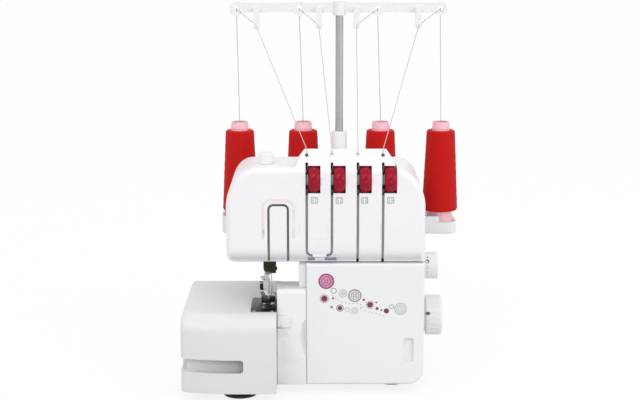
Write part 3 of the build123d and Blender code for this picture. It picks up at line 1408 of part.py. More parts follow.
PRESSER_BOTTOM = BED_TOP + 14.0
PRESSER_TOP = 264.0
COLLAR_Z = 206.0
COLLAR_R = 6.0
COLLAR_HEIGHT = 4.0
FOOT_LIFT = 6.0
with BuildPart() as presser_bar:
    with BuildSketch(level(PRESSER_BOTTOM)):
        with Locations((PRESSER_X, PRESSER_Y)):
            Circle(BAR_R)
    extrude(amount=PRESSER_TOP - PRESSER_BOTTOM)
    with BuildSketch(level(COLLAR_Z)):
        with Locations((PRESSER_X, PRESSER_Y)):
            Circle(COLLAR_R)
    extrude(amount=COLLAR_HEIGHT)
presser_bar.part.label = "presser_bar"
export_step(presser_bar.part, "parts/presser_bar.step")

SPRING_WIRE_R = 0.7
SPRING_R = 4.8
SPRING_TURNS = 5
SPRING_GAP = 0.1
spring_bottom = COLLAR_Z + COLLAR_HEIGHT + SPRING_WIRE_R + SPRING_GAP
spring_top = GUIDE_ZS[1] - SPRING_WIRE_R - SPRING_GAP
with BuildPart() as presser_spring:
    with BuildLine() as coil:
        Helix(
            pitch=(spring_top - spring_bottom) / SPRING_TURNS,
            height=spring_top - spring_bottom,
            radius=SPRING_R,
            center=(PRESSER_X, PRESSER_Y, spring_bottom),
        )
    with BuildSketch(Plane(origin=coil.line @ 0, z_dir=coil.line % 0)):
        Circle(SPRING_WIRE_R)
    sweep()
presser_spring.part.label = "presser_spring"
export_step(presser_spring.part, "parts/presser_spring.step")

with BuildPart() as pressure_knob:
    with BuildSketch(level(HEAD_TOP + SEAM_GAP)):
        with Locations((PRESSER_X, PRESSER_Y)):
            Circle(KNOB_R)
    extrude(amount=KNOB_HEIGHT)
    chamfer(edges().group_by(Axis.Z)[-1], 1.5)
    with BuildSketch(level(PRESSER_TOP + FOOT_LIFT + 3)):
        with Locations((PRESSER_X, PRESSER_Y)):
            Circle(KNOB_STEM_R)
    extrude(until=Until.NEXT)
pressure_knob.part.label = "pressure_knob"
export_step(pressure_knob.part, "parts/pressure_knob.step")

# ankle on the presser bar, with the foot's pin across its lower end
PIN_Y = -62.0
PIN_Z = BED_TOP + 6.5
PIN_R = 1.5
PIN_OVERHANG = 3.0
HOLDER_TOP = PIN_Z + 23.5
ANKLE_WIDTH = 8.0
HOLDER_SCREW_R = 3.4
HOLDER_SCREW_HEAD = 5.0
HOLDER_SCREW_DROP = 6.0
with BuildPart() as foot_holder:
    with BuildSketch(facing_right(PRESSER_X - ANKLE_WIDTH / 2)):
        with BuildLine():
            Polyline(
                (PRESSER_Y + 6, HOLDER_TOP),
                (PRESSER_Y - 6, HOLDER_TOP),
                (PRESSER_Y - 6, PRESSER_BOTTOM + 3),
                (PIN_Y - 4, PIN_Z + 4.5),
                (PIN_Y - 4, PIN_Z - 3),
                (PIN_Y + 4, PIN_Z - 3),
                (PIN_Y + 5, PIN_Z + 2.5),
                (PRESSER_Y + 6, PRESSER_BOTTOM - 1),
                close=True,
            )
        make_face()
    extrude(amount=ANKLE_WIDTH)
    with BuildSketch(level(PRESSER_BOTTOM)):
        with Locations((PRESSER_X, PRESSER_Y)):
            Circle(BAR_R)
    extrude(amount=HOLDER_TOP - PRESSER_BOTTOM + 1, mode=Mode.SUBTRACT)
    with BuildSketch(facing_right(PRESSER_X - ANKLE_WIDTH)):
        with Locations((PIN_Y, PIN_Z)):
            Circle(PIN_R + RUNNING_FIT)
    extrude(amount=2 * ANKLE_WIDTH, mode=Mode.SUBTRACT)
    # the screw that clamps the holder to the bar
    with BuildSketch(facing_right(PRESSER_X - ANKLE_WIDTH / 2 - HOLDER_SCREW_HEAD)):
        with Locations((PRESSER_Y, HOLDER_TOP - HOLDER_SCREW_DROP)):
            Circle(HOLDER_SCREW_R)
    extrude(amount=HOLDER_SCREW_HEAD)
foot_holder.part.label = "foot_holder"
export_step(foot_holder.part, "parts/foot_holder.step")

SOLE_BOTTOM = BED_TOP + SEAM_GAP
SOLE_THICKNESS = 2.2
SOLE_LEFT = -95.6
SOLE_RIGHT = -63.2
SOLE_FRONT = -98.0
SOLE_REAR = -47.0
TOE_LENGTH = 9.0
TOE_RISE = 3.5
TOE_SLIT_X = -82.5
TOE_SLIT_SIZE = (3.0, 18.0)
FOOT_SLOT_MARGIN = 7.0
FOOT_SLOT_WIDTH = 6.0
FOOT_EAR_R = 3.4
FOOT_EAR_WIDTH = 10.0
FOOT_EAR_THICKNESS = 2.0
with BuildPart() as presser_foot:
    # side view of the sole, its toe turned up, then its plan cut to the foot's outline
    with BuildSketch(facing_right(SOLE_LEFT)):
        with BuildLine():
            Polyline(
                (SOLE_REAR, SOLE_BOTTOM),
                (SOLE_FRONT + TOE_LENGTH, SOLE_BOTTOM),
                (SOLE_FRONT, SOLE_BOTTOM + TOE_RISE),
                (SOLE_FRONT, SOLE_BOTTOM + TOE_RISE + SOLE_THICKNESS),
                (SOLE_FRONT + TOE_LENGTH, SOLE_BOTTOM + SOLE_THICKNESS),
                (SOLE_REAR, SOLE_BOTTOM + SOLE_THICKNESS),
                close=True,
            )
        make_face()
    extrude(amount=SOLE_RIGHT - SOLE_LEFT)
    with BuildSketch(level(SOLE_BOTTOM)):
        with Locations((NEEDLE_X, NEEDLE_Y)):
            SlotOverall(NEEDLE_PITCH + FOOT_SLOT_MARGIN, FOOT_SLOT_WIDTH)
        with Locations((TOE_SLIT_X, SOLE_FRONT)):
            Rectangle(*TOE_SLIT_SIZE)
    extrude(amount=10, mode=Mode.SUBTRACT)
    # ears round the pin
    ear_gap = ANKLE_WIDTH / 2 + SEAM_GAP
    for ear_x in (PRESSER_X - ear_gap - FOOT_EAR_THICKNESS, PRESSER_X + ear_gap):
        with BuildSketch(facing_right(ear_x)):
            with Locations((PIN_Y - FOOT_EAR_WIDTH / 2, SOLE_BOTTOM + 1)):
                Rectangle(FOOT_EAR_WIDTH, PIN_Z - SOLE_BOTTOM - 1, align=Align.MIN)
            with Locations((PIN_Y, PIN_Z)):
                Circle(FOOT_EAR_R)
                Circle(PIN_R, mode=Mode.SUBTRACT)
        extrude(amount=FOOT_EAR_THICKNESS)
presser_foot.part.label = "presser_foot"
export_step(presser_foot.part, "parts/presser_foot.step")

with BuildPart() as foot_pin:
    with BuildSketch(facing_right(PRESSER_X - ANKLE_WIDTH / 2 - PIN_OVERHANG)):
        with Locations((PIN_Y, PIN_Z)):
            Circle(PIN_R)
    extrude(amount=ANKLE_WIDTH + 2 * PIN_OVERHANG)
foot_pin.part.label = "foot_pin"
export_step(foot_pin.part, "parts/foot_pin.step")

LIFTER_WIDTH = 10.0
LIFTER_REACH = 38.0
LIFTER_SLOPE = 70.0
LIFTER_TIP_R = 2.2
with BuildPart() as presser_lifter:
    lever_end = (
        LIFTER_Y + LIFTER_REACH * cos(radians(LIFTER_SLOPE)),
        LIFTER_Z - LIFTER_REACH * sin(radians(LIFTER_SLOPE)),
    )
    with BuildSketch(facing_right(PRESSER_X - LIFTER_WIDTH / 2)):
        with BuildSketch(mode=Mode.PRIVATE) as lever:
            with Locations((LIFTER_Y, LIFTER_Z)):
                Circle(LIFTER_HUB_R)
            with Locations(lever_end):
                Circle(LIFTER_TIP_R)
            make_hull()
        add(lever.sketch)
        with Locations((LIFTER_Y, LIFTER_Z)):
            Circle(LIFTER_PIN_R + RUNNING_FIT, mode=Mode.SUBTRACT)
    extrude(amount=LIFTER_WIDTH)
presser_lifter.part.label = "presser_lifter"
export_step(presser_lifter.part, "parts/presser_lifter.step")


# ================================================================ loopers, knives and feed
LOOPER_HUB_R = LOOPER_PIN_R + 4.0
LOOPER_EYE_R = 0.8
LOOPER_BLADE_WIDTH = 4.0
LOOPER_THICKNESS = 3.5
LOWER_LOOPER_REAR = NEEDLE_Y + 5.5
UPPER_LOOPER_REAR = NEEDLE_Y - 3.5
LOWER_HOOK_R = 68.0
UPPER_HOOK_R = 74.0
LOWER_HOOK_ANGLES = (133.0, 22.0)
UPPER_HOOK_ANGLES = (153.0, 14.0)


def looper(pivot, radius, start, hook_angle, rear):
    """A looper: a hub, an arm out to the hook's tail, and a hook that arcs about the hub."""
    hub_x, hub_z = pivot
    tail_angle = radians(start + hook_angle)
    tail = (hub_x + radius * cos(tail_angle), hub_z + radius * sin(tail_angle))
    eyelet_angle = radians(start + 3)
    eyelet_x = hub_x + radius * cos(eyelet_angle)
    eyelet_z = hub_z + radius * sin(eyelet_angle)
    with BuildPart() as blade:
        with BuildSketch(facing_front(rear)):
            with BuildLine():
                CenterArc(pivot, radius, start, hook_angle)
            trace(line_width=LOOPER_BLADE_WIDTH)
            with BuildLine():
                Line(pivot, tail)
            trace(line_width=1.6 * LOOPER_BLADE_WIDTH)
            with Locations(pivot):
                Circle(LOOPER_HUB_R)
            with Locations(tail):
                Circle(LOOPER_BLADE_WIDTH)
        extrude(amount=LOOPER_THICKNESS)
        with BuildSketch(facing_front(rear + 1)):
            with Locations(pivot):
                Circle(LOOPER_PIN_R + RUNNING_FIT)
            # the eyelet near the tip
            with Locations((eyelet_x, eyelet_z)):
                Circle(LOOPER_EYE_R)
        extrude(amount=LOOPER_THICKNESS + 2, mode=Mode.SUBTRACT)
    return blade.part


with BuildPart() as lower_looper:
    add(looper(LOOPER_PIVOTS["lower"], LOWER_HOOK_R, *LOWER_HOOK_ANGLES, LOWER_LOOPER_REAR))
lower_looper.part.label = "lower_looper"
export_step(lower_looper.part, "parts/lower_looper.step")

with BuildPart() as upper_looper:
    add(looper(LOOPER_PIVOTS["upper"], UPPER_HOOK_R, *UPPER_HOOK_ANGLES, UPPER_LOOPER_REAR))
upper_looper.part.label = "upper_looper"
export_step(upper_looper.part, "parts/upper_looper.step")

# fixed pins that the loopers and the presser lifter turn on
with BuildPart() as pivot_pins:
    for pivot, looper_rear in (
        (LOOPER_PIVOTS["lower"], LOWER_LOOPER_REAR),
        (LOOPER_PIVOTS["upper"], UPPER_LOOPER_REAR),
    ):
        with BuildSketch(facing_front(FRAME_REAR)):
            with Locations(pivot):
                Circle(LOOPER_PIN_R)
        extrude(amount=FRAME_REAR - looper_rear + LOOPER_THICKNESS + 1)
    with BuildSketch(facing_right(GUIDE_LEFT)):
        with Locations((LIFTER_Y, LIFTER_Z)):
            Circle(LIFTER_PIN_R)
    extrude(amount=GUIDE_WIDTH)
pivot_pins.part.label = "pivot_pins"
export_step(pivot_pins.part, "parts/pivot_pins.step")

FEED_TEETH = 9
FEED_LENGTH = 36.0
FEED_TOP = BED_TOP - 1.2
FEED_BAR_WIDTH = 4.0
FEED_BRIDGE_Z = 94.0
FEED_BRIDGE_HEIGHT = 4.0
FEED_BRIDGE_WIDTH = 16.0
FEED_TONGUE_LENGTH = 24.0
FEED_X = sum(FEED_SLOT_XS) / 2
feed_bar_bottom = FEED_BRIDGE_Z + FEED_BRIDGE_HEIGHT - 1
with BuildPart() as feed_dogs:
    with Locations((FEED_X, NEEDLE_Y, FEED_BRIDGE_Z)):
        Box(
            FEED_BRIDGE_WIDTH,
            FEED_LENGTH + 4,
            FEED_BRIDGE_HEIGHT,
            align=(Align.CENTER, Align.CENTER, Align.MIN),
        )
    with Locations((FEED_X - FEED_BAR_WIDTH / 2, NEEDLE_Y, FEED_BRIDGE_Z)):
        Box(FEED_BAR_WIDTH, FEED_TONGUE_LENGTH, FEED_BRIDGE_HEIGHT, align=Align.MIN)
    for slot_x in FEED_SLOT_XS:
        with BuildSketch(facing_right(slot_x - FEED_BAR_WIDTH / 2)):
            with Locations((NEEDLE_Y - FEED_LENGTH / 2, feed_bar_bottom)):
                Rectangle(FEED_LENGTH, FEED_TOP - feed_bar_bottom, align=Align.MIN)
            pitch = FEED_LENGTH / FEED_TEETH
            for tooth in range(FEED_TEETH):
                with BuildLine():
                    tooth_y = NEEDLE_Y - FEED_LENGTH / 2 + tooth * pitch
                    Polyline(
                        (tooth_y, FEED_TOP - 1),
                        (tooth_y + pitch, FEED_TOP + 0.1),
                        (tooth_y, FEED_TOP + 0.1),
                        close=True,
                    )
                make_face(mode=Mode.SUBTRACT)
        extrude(amount=FEED_BAR_WIDTH)
feed_dogs.part.label = "feed_dogs"
export_step(feed_dogs.part, "parts/feed_dogs.step")

KNIFE_ARM_Z = 78.0
KNIFE_ARM_HEIGHT = 12.0
KNIFE_TOP = HOOD_TOP - WALL - 2.0
LOWER_KNIFE_BOTTOM = 95.0
KNIFE_LINE_Z = BED_TOP - 0.2
with BuildPart() as upper_knife:
    with BuildSketch(facing_right(KNIFE_X - KNIFE_THICKNESS / 2)):
        with BuildLine():
            Polyline(
                (KNIFE_Y - KNIFE_REACH, KNIFE_ARM_Z),
                (KNIFE_Y + KNIFE_REACH, KNIFE_ARM_Z),
                (KNIFE_Y + KNIFE_REACH, BED_TOP + 3),
                (KNIFE_Y + 1, KNIFE_TOP),
                (KNIFE_Y - KNIFE_REACH, KNIFE_TOP),
                close=True,
            )
        make_face()
    extrude(amount=KNIFE_THICKNESS)
upper_knife.part.label = "upper_knife"
export_step(upper_knife.part, "parts/upper_knife.step")

with BuildPart() as knife_carrier:
    arm_left = KNIFE_X + KNIFE_THICKNESS / 2
    with Locations((arm_left, KNIFE_ROD_Y - KNIFE_ARM_DEPTH / 2, KNIFE_ARM_Z)):
        Box(KNIFE_ROD_X + 4 - arm_left, KNIFE_ARM_DEPTH, KNIFE_ARM_HEIGHT, align=Align.MIN)
    with BuildSketch(level(KNIFE_BOSS_TOP - KNIFE_ROD_SEAT)):
        with Locations((KNIFE_ROD_X, KNIFE_ROD_Y)):
            Circle(KNIFE_ROD_R)
    extrude(amount=KNIFE_ARM_Z - KNIFE_BOSS_TOP + KNIFE_ROD_SEAT)
knife_carrier.part.label = "knife_carrier"
export_step(knife_carrier.part, "parts/knife_carrier.step")

with BuildPart() as lower_knife:
    blade_left = KNIFE_X + KNIFE_THICKNESS / 2 + SEAM_GAP
    bracket_left = blade_left + KNIFE_THICKNESS
    with Locations((blade_left, KNIFE_Y - KNIFE_REACH, LOWER_KNIFE_BOTTOM)):
        Box(KNIFE_THICKNESS, 2 * KNIFE_REACH, KNIFE_LINE_Z - LOWER_KNIFE_BOTTOM, align=Align.MIN)
    with Locations((bracket_left, KNIFE_Y - KNIFE_REACH, LOWER_KNIFE_BOTTOM)):
        Box(BRACKET_THICKNESS, 2 * KNIFE_REACH, ARM_TOP - LOWER_KNIFE_BOTTOM, align=Align.MIN)
    # the bracket that stands it on the base, in front of the knife carrier
    with Locations((bracket_left, KNIFE_Y - KNIFE_REACH, BASE_TOP)):
        Box(BRACKET_THICKNESS, BRACKET_DEPTH, LOWER_KNIFE_BOTTOM - BASE_TOP, align=Align.MIN)
lower_knife.part.label = "lower_knife"
export_step(lower_knife.part, "parts/lower_knife.step")

LEVER_FRONT = BODY_FRONT - SEAM_GAP
with BuildPart() as finger_lever:
    with BuildSketch(facing_front(LEVER_FRONT)):
        with Locations((LEVER_X, LEVER_Z)):
            RectangleRounded(LEVER_WIDTH, LEVER_HEIGHT, LEVER_CORNER_R)
    extrude(amount=LEVER_THICKNESS)
    fillet(faces().sort_by(Axis.Y)[0].edges(), LEVER_EDGE_R)
    with BuildSketch(facing_front(LEVER_FRONT)):
        with Locations((LEVER_STEM_X, LEVER_Z)):
            Rectangle(LEVER_STEM, LEVER_STEM)
    extrude(amount=-2 * WALL)
finger_lever.part.label = "finger_lever"
export_step(finger_lever.part, "parts/finger_lever.step")

# ================================================================ thread stand
with BuildPart() as spool_stand:
    with BuildSketch(level(TRAY_BOTTOM)):
        with Locations(((TRAY_LEFT + TRAY_RIGHT) / 2, (TRAY_FRONT + TRAY_REAR) / 2)):
            RectangleRounded(TRAY_RIGHT - TRAY_LEFT, TRAY_REAR - TRAY_FRONT, TRAY_CORNER_R)
        with Locations((NECK_X, (BODY_REAR + TRAY_FRONT) / 2 + NECK_OVERLAP)):
            Rectangle(NECK_WIDTH, TRAY_FRONT - BODY_REAR + 2 * NECK_OVERLAP)
    extrude(amount=TRAY_RIM - TRAY_BOTTOM)
    fillet(edges().group_by(Axis.Z)[0], TRAY_FOOT_R)
    with BuildSketch(level(TRAY_FLOOR)):
        with Locations(((TRAY_LEFT + TRAY_RIGHT) / 2, (TRAY_FRONT + TRAY_REAR) / 2)):
            RectangleRounded(
                TRAY_RIGHT - TRAY_LEFT - 2 * TRAY_WALL,
                TRAY_REAR - TRAY_FRONT - 2 * TRAY_WALL,
                TRAY_INNER_R,
            )
    extrude(amount=TRAY_RIM - TRAY_FLOOR, mode=Mode.SUBTRACT)
    # the rim steps down at the right end
    with Locations((TRAY_STEP_X, TRAY_FRONT - 1, TRAY_FLOOR + TRAY_STEP_HEIGHT)):
        Box(
            TRAY_RIGHT - TRAY_STEP_X + 1,
            TRAY_REAR - TRAY_FRONT + 2,
            TRAY_RIM - TRAY_FLOOR,
            align=Align.MIN,
            mode=Mode.SUBTRACT,
        )
    with BuildSketch(level(TRAY_BOTTOM)):
        with Locations((MAST_X, MAST_Y)):
            Circle(MAST_TUBE_R)
    extrude(amount=TRAY_RIM - TRAY_BOTTOM, mode=Mode.SUBTRACT)
    # a pin for each cone
    with BuildSketch(level(TRAY_FLOOR)):
        with Locations(*[(x, CONE_Y) for x in CONE_XS]):
            Circle(CONE_PIN_R)
    extrude(amount=CONE_PIN_LENGTH)
spool_stand.part.label = "spool_stand"
export_step(spool_stand.part, "parts/spool_stand.step")

CORE_BOTTOM = 190.0
CORE_TOP = 327.6
CORE_BOTTOM_R = 18.0
CORE_TOP_R = 11.5
CORE_WALL = 1.5
WOUND_BOTTOM = 204.0
WOUND_TOP = 316.0
WOUND_BOTTOM_R = 24.5
WOUND_TOP_R = 19.6
WOUND_EDGE_R = 3.0


def core_radius(z):
    """Outer radius of a cone's core at height z."""
    return CORE_BOTTOM_R + (CORE_TOP_R - CORE_BOTTOM_R) * (z - CORE_BOTTOM) / (CORE_TOP - CORE_BOTTOM)


cone_places = [(x, CONE_Y) for x in CONE_XS]

with BuildPart() as spool_cushions:
    with BuildSketch(level(TRAY_FLOOR)):
        with Locations(*cone_places):
            Circle(CUSHION_R)
            Circle(CONE_PIN_R, mode=Mode.SUBTRACT)
    extrude(amount=CORE_BOTTOM - TRAY_FLOOR)
spool_cushions.part.label = "spool_cushions"
export_step(spool_cushions.part, "parts/spool_cushions.step")

with BuildPart() as cone_cores:
    with BuildSketch(Plane.XZ, mode=Mode.PRIVATE) as core_half:
        with BuildLine():
            Polyline(
                (core_radius(CORE_BOTTOM), CORE_BOTTOM),
                (core_radius(WOUND_TOP + 1), WOUND_TOP + 1),
                (CORE_TOP_R + 0.8, WOUND_TOP + 3),
                (CORE_TOP_R, CORE_TOP),
                (CORE_TOP_R - 2, CORE_TOP),
                (core_radius(WOUND_TOP) - CORE_WALL, WOUND_TOP),
                (core_radius(CORE_BOTTOM) - CORE_WALL, CORE_BOTTOM),
                close=True,
            )
        make_face()
    core = revolve(core_half.sketch, Axis.Z, mode=Mode.PRIVATE)
    with Locations(*cone_places):
        add(core)
cone_cores.part.label = "cone_cores"
export_step(cone_cores.part, "parts/cone_cores.step")

with BuildPart() as thread_cones:
    with BuildSketch(Plane.XZ, mode=Mode.PRIVATE) as wound_half:
        with BuildLine():
            Polyline(
                (core_radius(WOUND_BOTTOM), WOUND_BOTTOM),
                (WOUND_BOTTOM_R, WOUND_BOTTOM),
                (WOUND_TOP_R, WOUND_TOP),
                (core_radius(WOUND_TOP), WOUND_TOP),
                close=True,
            )
        make_face()
        fillet(vertices().sort_by(Axis.X)[-2:], WOUND_EDGE_R)
    wound = revolve(wound_half.sketch, Axis.Z, mode=Mode.PRIVATE)
    with Locations(*cone_places):
        add(wound)
thread_cones.part.label = "thread_cones"
export_step(thread_cones.part, "parts/thread_cones.step")

MAST_BORE_R = MAST_R + 0.1
TUBE_BOTTOM = 150.0
TUBE_FLOOR = 3.0
TUBE_EDGE_R = 1.0
with BuildPart() as mast_tube:
    with BuildSketch(level(TUBE_BOTTOM)):
        with Locations((MAST_X, MAST_Y)):
            Circle(MAST_TUBE_R)
    extrude(amount=MAST_TUBE_TOP - TUBE_BOTTOM)
    fillet(edges().group_by(Axis.Z)[-1], TUBE_EDGE_R)
    with BuildSketch(level(TUBE_BOTTOM + TUBE_FLOOR)):
        with Locations((MAST_X, MAST_Y)):
            Circle(MAST_BORE_R)
    extrude(amount=MAST_TUBE_TOP, mode=Mode.SUBTRACT)
mast_tube.part.label = "mast_tube"
export_step(mast_tube.part, "parts/mast_tube.step")

ROD_BOTTOM = TUBE_BOTTOM + 5 + MAST_TRAVEL
with BuildPart() as mast_rod:
    with BuildSketch(level(ROD_BOTTOM)):
        with Locations((MAST_X, MAST_Y)):
            Circle(MAST_R)
    extrude(amount=BAR_Z - ROD_BOTTOM)
mast_rod.part.label = "mast_rod"
export_step(mast_rod.part, "parts/mast_rod.step")

BAR_HEIGHT = 12.6
BAR_DEPTH = 8.0
RING_R = 9.0
RING_HOLE_R = 4.0
EYE_Y = 50.0
EYE_THICKNESS = 4.0
EYE_R = 5.0
EYE_HOLE_R = 2.0
EYE_WIDTH = 8.0
STRUT_DEPTH = 10.0
BOSS_R = 9.0
BOSS_DROP = 10.0
BOSS_HEIGHT = 18.0
with BuildPart() as thread_bar:
    with BuildSketch(facing_front(MAST_Y + BAR_DEPTH / 2)):
        with Locations((MAST_X + (RING_OFFSETS[0] + RING_OFFSETS[-1]) / 2, BAR_Z)):
            Rectangle(RING_OFFSETS[-1] - RING_OFFSETS[0], BAR_HEIGHT)
        with Locations(*[(MAST_X + offset_x, RING_Z) for offset_x in RING_OFFSETS]):
            Circle(RING_R)
            Circle(RING_HOLE_R, mode=Mode.SUBTRACT)
    extrude(amount=BAR_DEPTH)
    # eyes that hang below the bar's front
    for offset_x in HOOK_OFFSETS:
        hook_x = MAST_X + offset_x
        with Locations((hook_x, EYE_Y, HOOK_Z + EYE_R)):
            Box(
                EYE_WIDTH,
                STRUT_DEPTH,
                BAR_Z - HOOK_Z - EYE_R,
                align=(Align.CENTER, Align.MIN, Align.MIN),
            )
        with BuildSketch(facing_front(EYE_Y + EYE_THICKNESS)):
            with Locations((hook_x, HOOK_Z)):
                Circle(EYE_R)
            with Locations((hook_x, HOOK_Z + EYE_WIDTH / 2)):
                Rectangle(EYE_WIDTH, EYE_WIDTH)
            with Locations((hook_x, HOOK_Z)):
                Circle(EYE_HOLE_R, mode=Mode.SUBTRACT)
        extrude(amount=EYE_THICKNESS)
    # the boss that sits on the mast
    with BuildSketch(level(BAR_Z - BOSS_DROP)):
        with Locations((MAST_X, MAST_Y)):
            Circle(BOSS_R)
    extrude(amount=BOSS_HEIGHT)
    with BuildSketch(level(BAR_Z - BOSS_DROP - 2)):
        with Locations((MAST_X, MAST_Y)):
            Circle(MAST_R)
    extrude(amount=BOSS_DROP + 2, mode=Mode.SUBTRACT)
thread_bar.part.label = "thread_bar"
export_step(thread_bar.part, "parts/thread_bar.step")

# each thread runs up from its cone, through its ring and eye, and down to the panel's guide hole
for number in range(THREAD_COUNT):
    ring_x = MAST_X + RING_OFFSETS[number]
    hook_x = MAST_X + HOOK_OFFSETS[number]
    route = [
        (CONE_XS[number], CONE_Y, CORE_TOP + 0.3),
        (ring_x, MAST_Y + 6, RING_Z),
        (ring_x, MAST_Y - 5, RING_Z),
        (hook_x, EYE_Y + EYE_THICKNESS + 2, HOOK_Z),
        (hook_x, EYE_Y - 2, HOOK_Z),
        (SLOT_XS[number], HUMP_CREST_Y - 4.5, HUMP_TOP + 1),
        (SLOT_XS[number], front_y(GUIDE_HOLE_Z) + 1.5, GUIDE_HOLE_Z),
    ]
    with BuildPart() as thread:
        with BuildLine() as thread_path:
            FilletPolyline(*route, radius=2.0)
        with BuildSketch(Plane(origin=thread_path.line @ 0, z_dir=thread_path.line % 0)):
            Circle(THREAD_R)
        sweep()
    thread.part.label = f"thread_{number + 1}"
    export_step(thread.part, f"parts/thread_{number + 1}.step")
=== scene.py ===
from math import cos, hypot, pi, radians, sin, tau

import bmesh
import bpy
from mathutils import Matrix, Vector


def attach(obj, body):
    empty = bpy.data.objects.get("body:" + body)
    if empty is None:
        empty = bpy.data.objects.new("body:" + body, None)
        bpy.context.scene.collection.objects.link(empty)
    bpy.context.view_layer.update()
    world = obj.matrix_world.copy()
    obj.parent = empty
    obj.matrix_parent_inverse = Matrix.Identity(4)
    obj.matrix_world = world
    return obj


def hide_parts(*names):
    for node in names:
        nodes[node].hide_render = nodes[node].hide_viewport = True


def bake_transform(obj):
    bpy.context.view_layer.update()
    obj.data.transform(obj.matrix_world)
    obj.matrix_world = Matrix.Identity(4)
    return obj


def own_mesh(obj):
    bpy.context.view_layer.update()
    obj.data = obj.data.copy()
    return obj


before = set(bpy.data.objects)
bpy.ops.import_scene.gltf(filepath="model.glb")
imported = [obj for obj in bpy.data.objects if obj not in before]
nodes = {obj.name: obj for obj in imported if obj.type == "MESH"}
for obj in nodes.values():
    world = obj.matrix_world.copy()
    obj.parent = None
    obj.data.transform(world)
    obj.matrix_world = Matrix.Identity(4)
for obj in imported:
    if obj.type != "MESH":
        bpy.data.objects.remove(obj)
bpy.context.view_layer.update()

scene = bpy.context.scene
MM = 0.001


# ---------------------------------------------------------------- camera
camera_data = bpy.data.cameras.new("camera")
camera_data.lens = 79.9
camera_data.sensor_width = 36
camera_data.clip_end = 60
camera = bpy.data.objects.new("camera", camera_data)
camera.location = (-0.007, -1.8468, 0.6124)
camera.rotation_euler = (radians(90 - 11.5), 0, 0)
scene.collection.objects.link(camera)
scene.camera = camera
scene.view_settings.view_transform = "Standard"

# ---------------------------------------------------------------- the four threads
# Sizes below are in millimetres, in the same frame as the CAD. Sizes inside materials are in metres.
SLOT_XS = (-23.7, 8.1, 40.9, 72.7)
CONE_XS = (-117.8, -30.2, 76.6, 160.0)
CONE_Y = 96.5
CONE_TOP = 327.9
RING_XS = (-119.0, -35.0, 70.0, 154.0)
RING_YS = (68.0, 57.0)
RING_Z = 485.0
EYE_XS = (-91.8, -8.6, 41.5, 124.0)
EYE_YS = (56.0, 48.0)
EYE_Z = 463.0
CREST_Y, CREST_Z = -78.5, 318.0
GUIDE_Y, GUIDE_Z = -77.0, 310.5
THREAD_D = 1.0
THREAD_LEAD = 6


def wire_mesh(curve, radius, name):
    """The mesh of a round wire along a curve, and the points of the wire's centreline."""
    line = bpy.data.objects.new(name, curve)
    scene.collection.objects.link(line)
    bpy.context.view_layer.update()
    centre = line.to_mesh()
    path = [tuple(vertex.co) for vertex in centre.vertices]
    line.to_mesh_clear()
    curve.bevel_depth = radius * MM
    curve.bevel_resolution = 3
    curve.use_fill_caps = True
    bpy.context.view_layer.update()
    mesh = bpy.data.meshes.new_from_object(line.evaluated_get(bpy.context.evaluated_depsgraph_get()))
    bpy.data.objects.remove(line)
    return mesh, path


def thread_route(number):
    """The points that one thread runs through, from its cone to the hole in the panel."""
    cone = Vector((CONE_XS[number], CONE_Y, CONE_TOP))
    ring_back, ring_front = (Vector((RING_XS[number], y, RING_Z)) for y in RING_YS)
    eye_back, eye_front = (Vector((EYE_XS[number], y, EYE_Z)) for y in EYE_YS)
    crest = Vector((SLOT_XS[number], CREST_Y, CREST_Z))
    hole = Vector((SLOT_XS[number], GUIDE_Y, GUIDE_Z))
    near_ring = ring_back + (cone - ring_back).normalized() * THREAD_LEAD
    near_eye = eye_front + (crest - eye_front).normalized() * THREAD_LEAD
    near_crest = crest + (eye_front - crest).normalized() * THREAD_LEAD
    return [cone, near_ring, ring_back, ring_front, eye_back, eye_front, near_eye, near_crest, crest, hole]


def make_thread(number):
    """A taut thread as a mesh tube."""
    name = f"thread_line_{number + 1}"
    route = [point * MM for point in thread_route(number)]
    curve = bpy.data.curves.new(name, "CURVE")
    curve.dimensions = "3D"
    curve.resolution_u = 10
    spline = curve.splines.new("NURBS")
    spline.points.add(len(route) - 1)
    for point, place in zip(spline.points, route):
        point.co = (*place, 1)
    spline.order_u = 3
    spline.use_endpoint_u = True
    tube, path = wire_mesh(curve, THREAD_D / 2, name)
    thread = bpy.data.objects.new(name, tube)
    scene.collection.objects.link(thread)
    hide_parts(f"thread_{number + 1}")
    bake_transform(thread)
    return thread


threads = [make_thread(number) for number in range(4)]


# ---------------------------------------------------------------- node helpers
def srgb(r, g, b):
    """A colour written as 0 to 255, as the linear values that a shader takes."""
    def linear(v):
        v /= 255
        return v / 12.92 if v <= 0.04045 else ((v + 0.055) / 1.055) ** 2.4
    return linear(r), linear(g), linear(b), 1


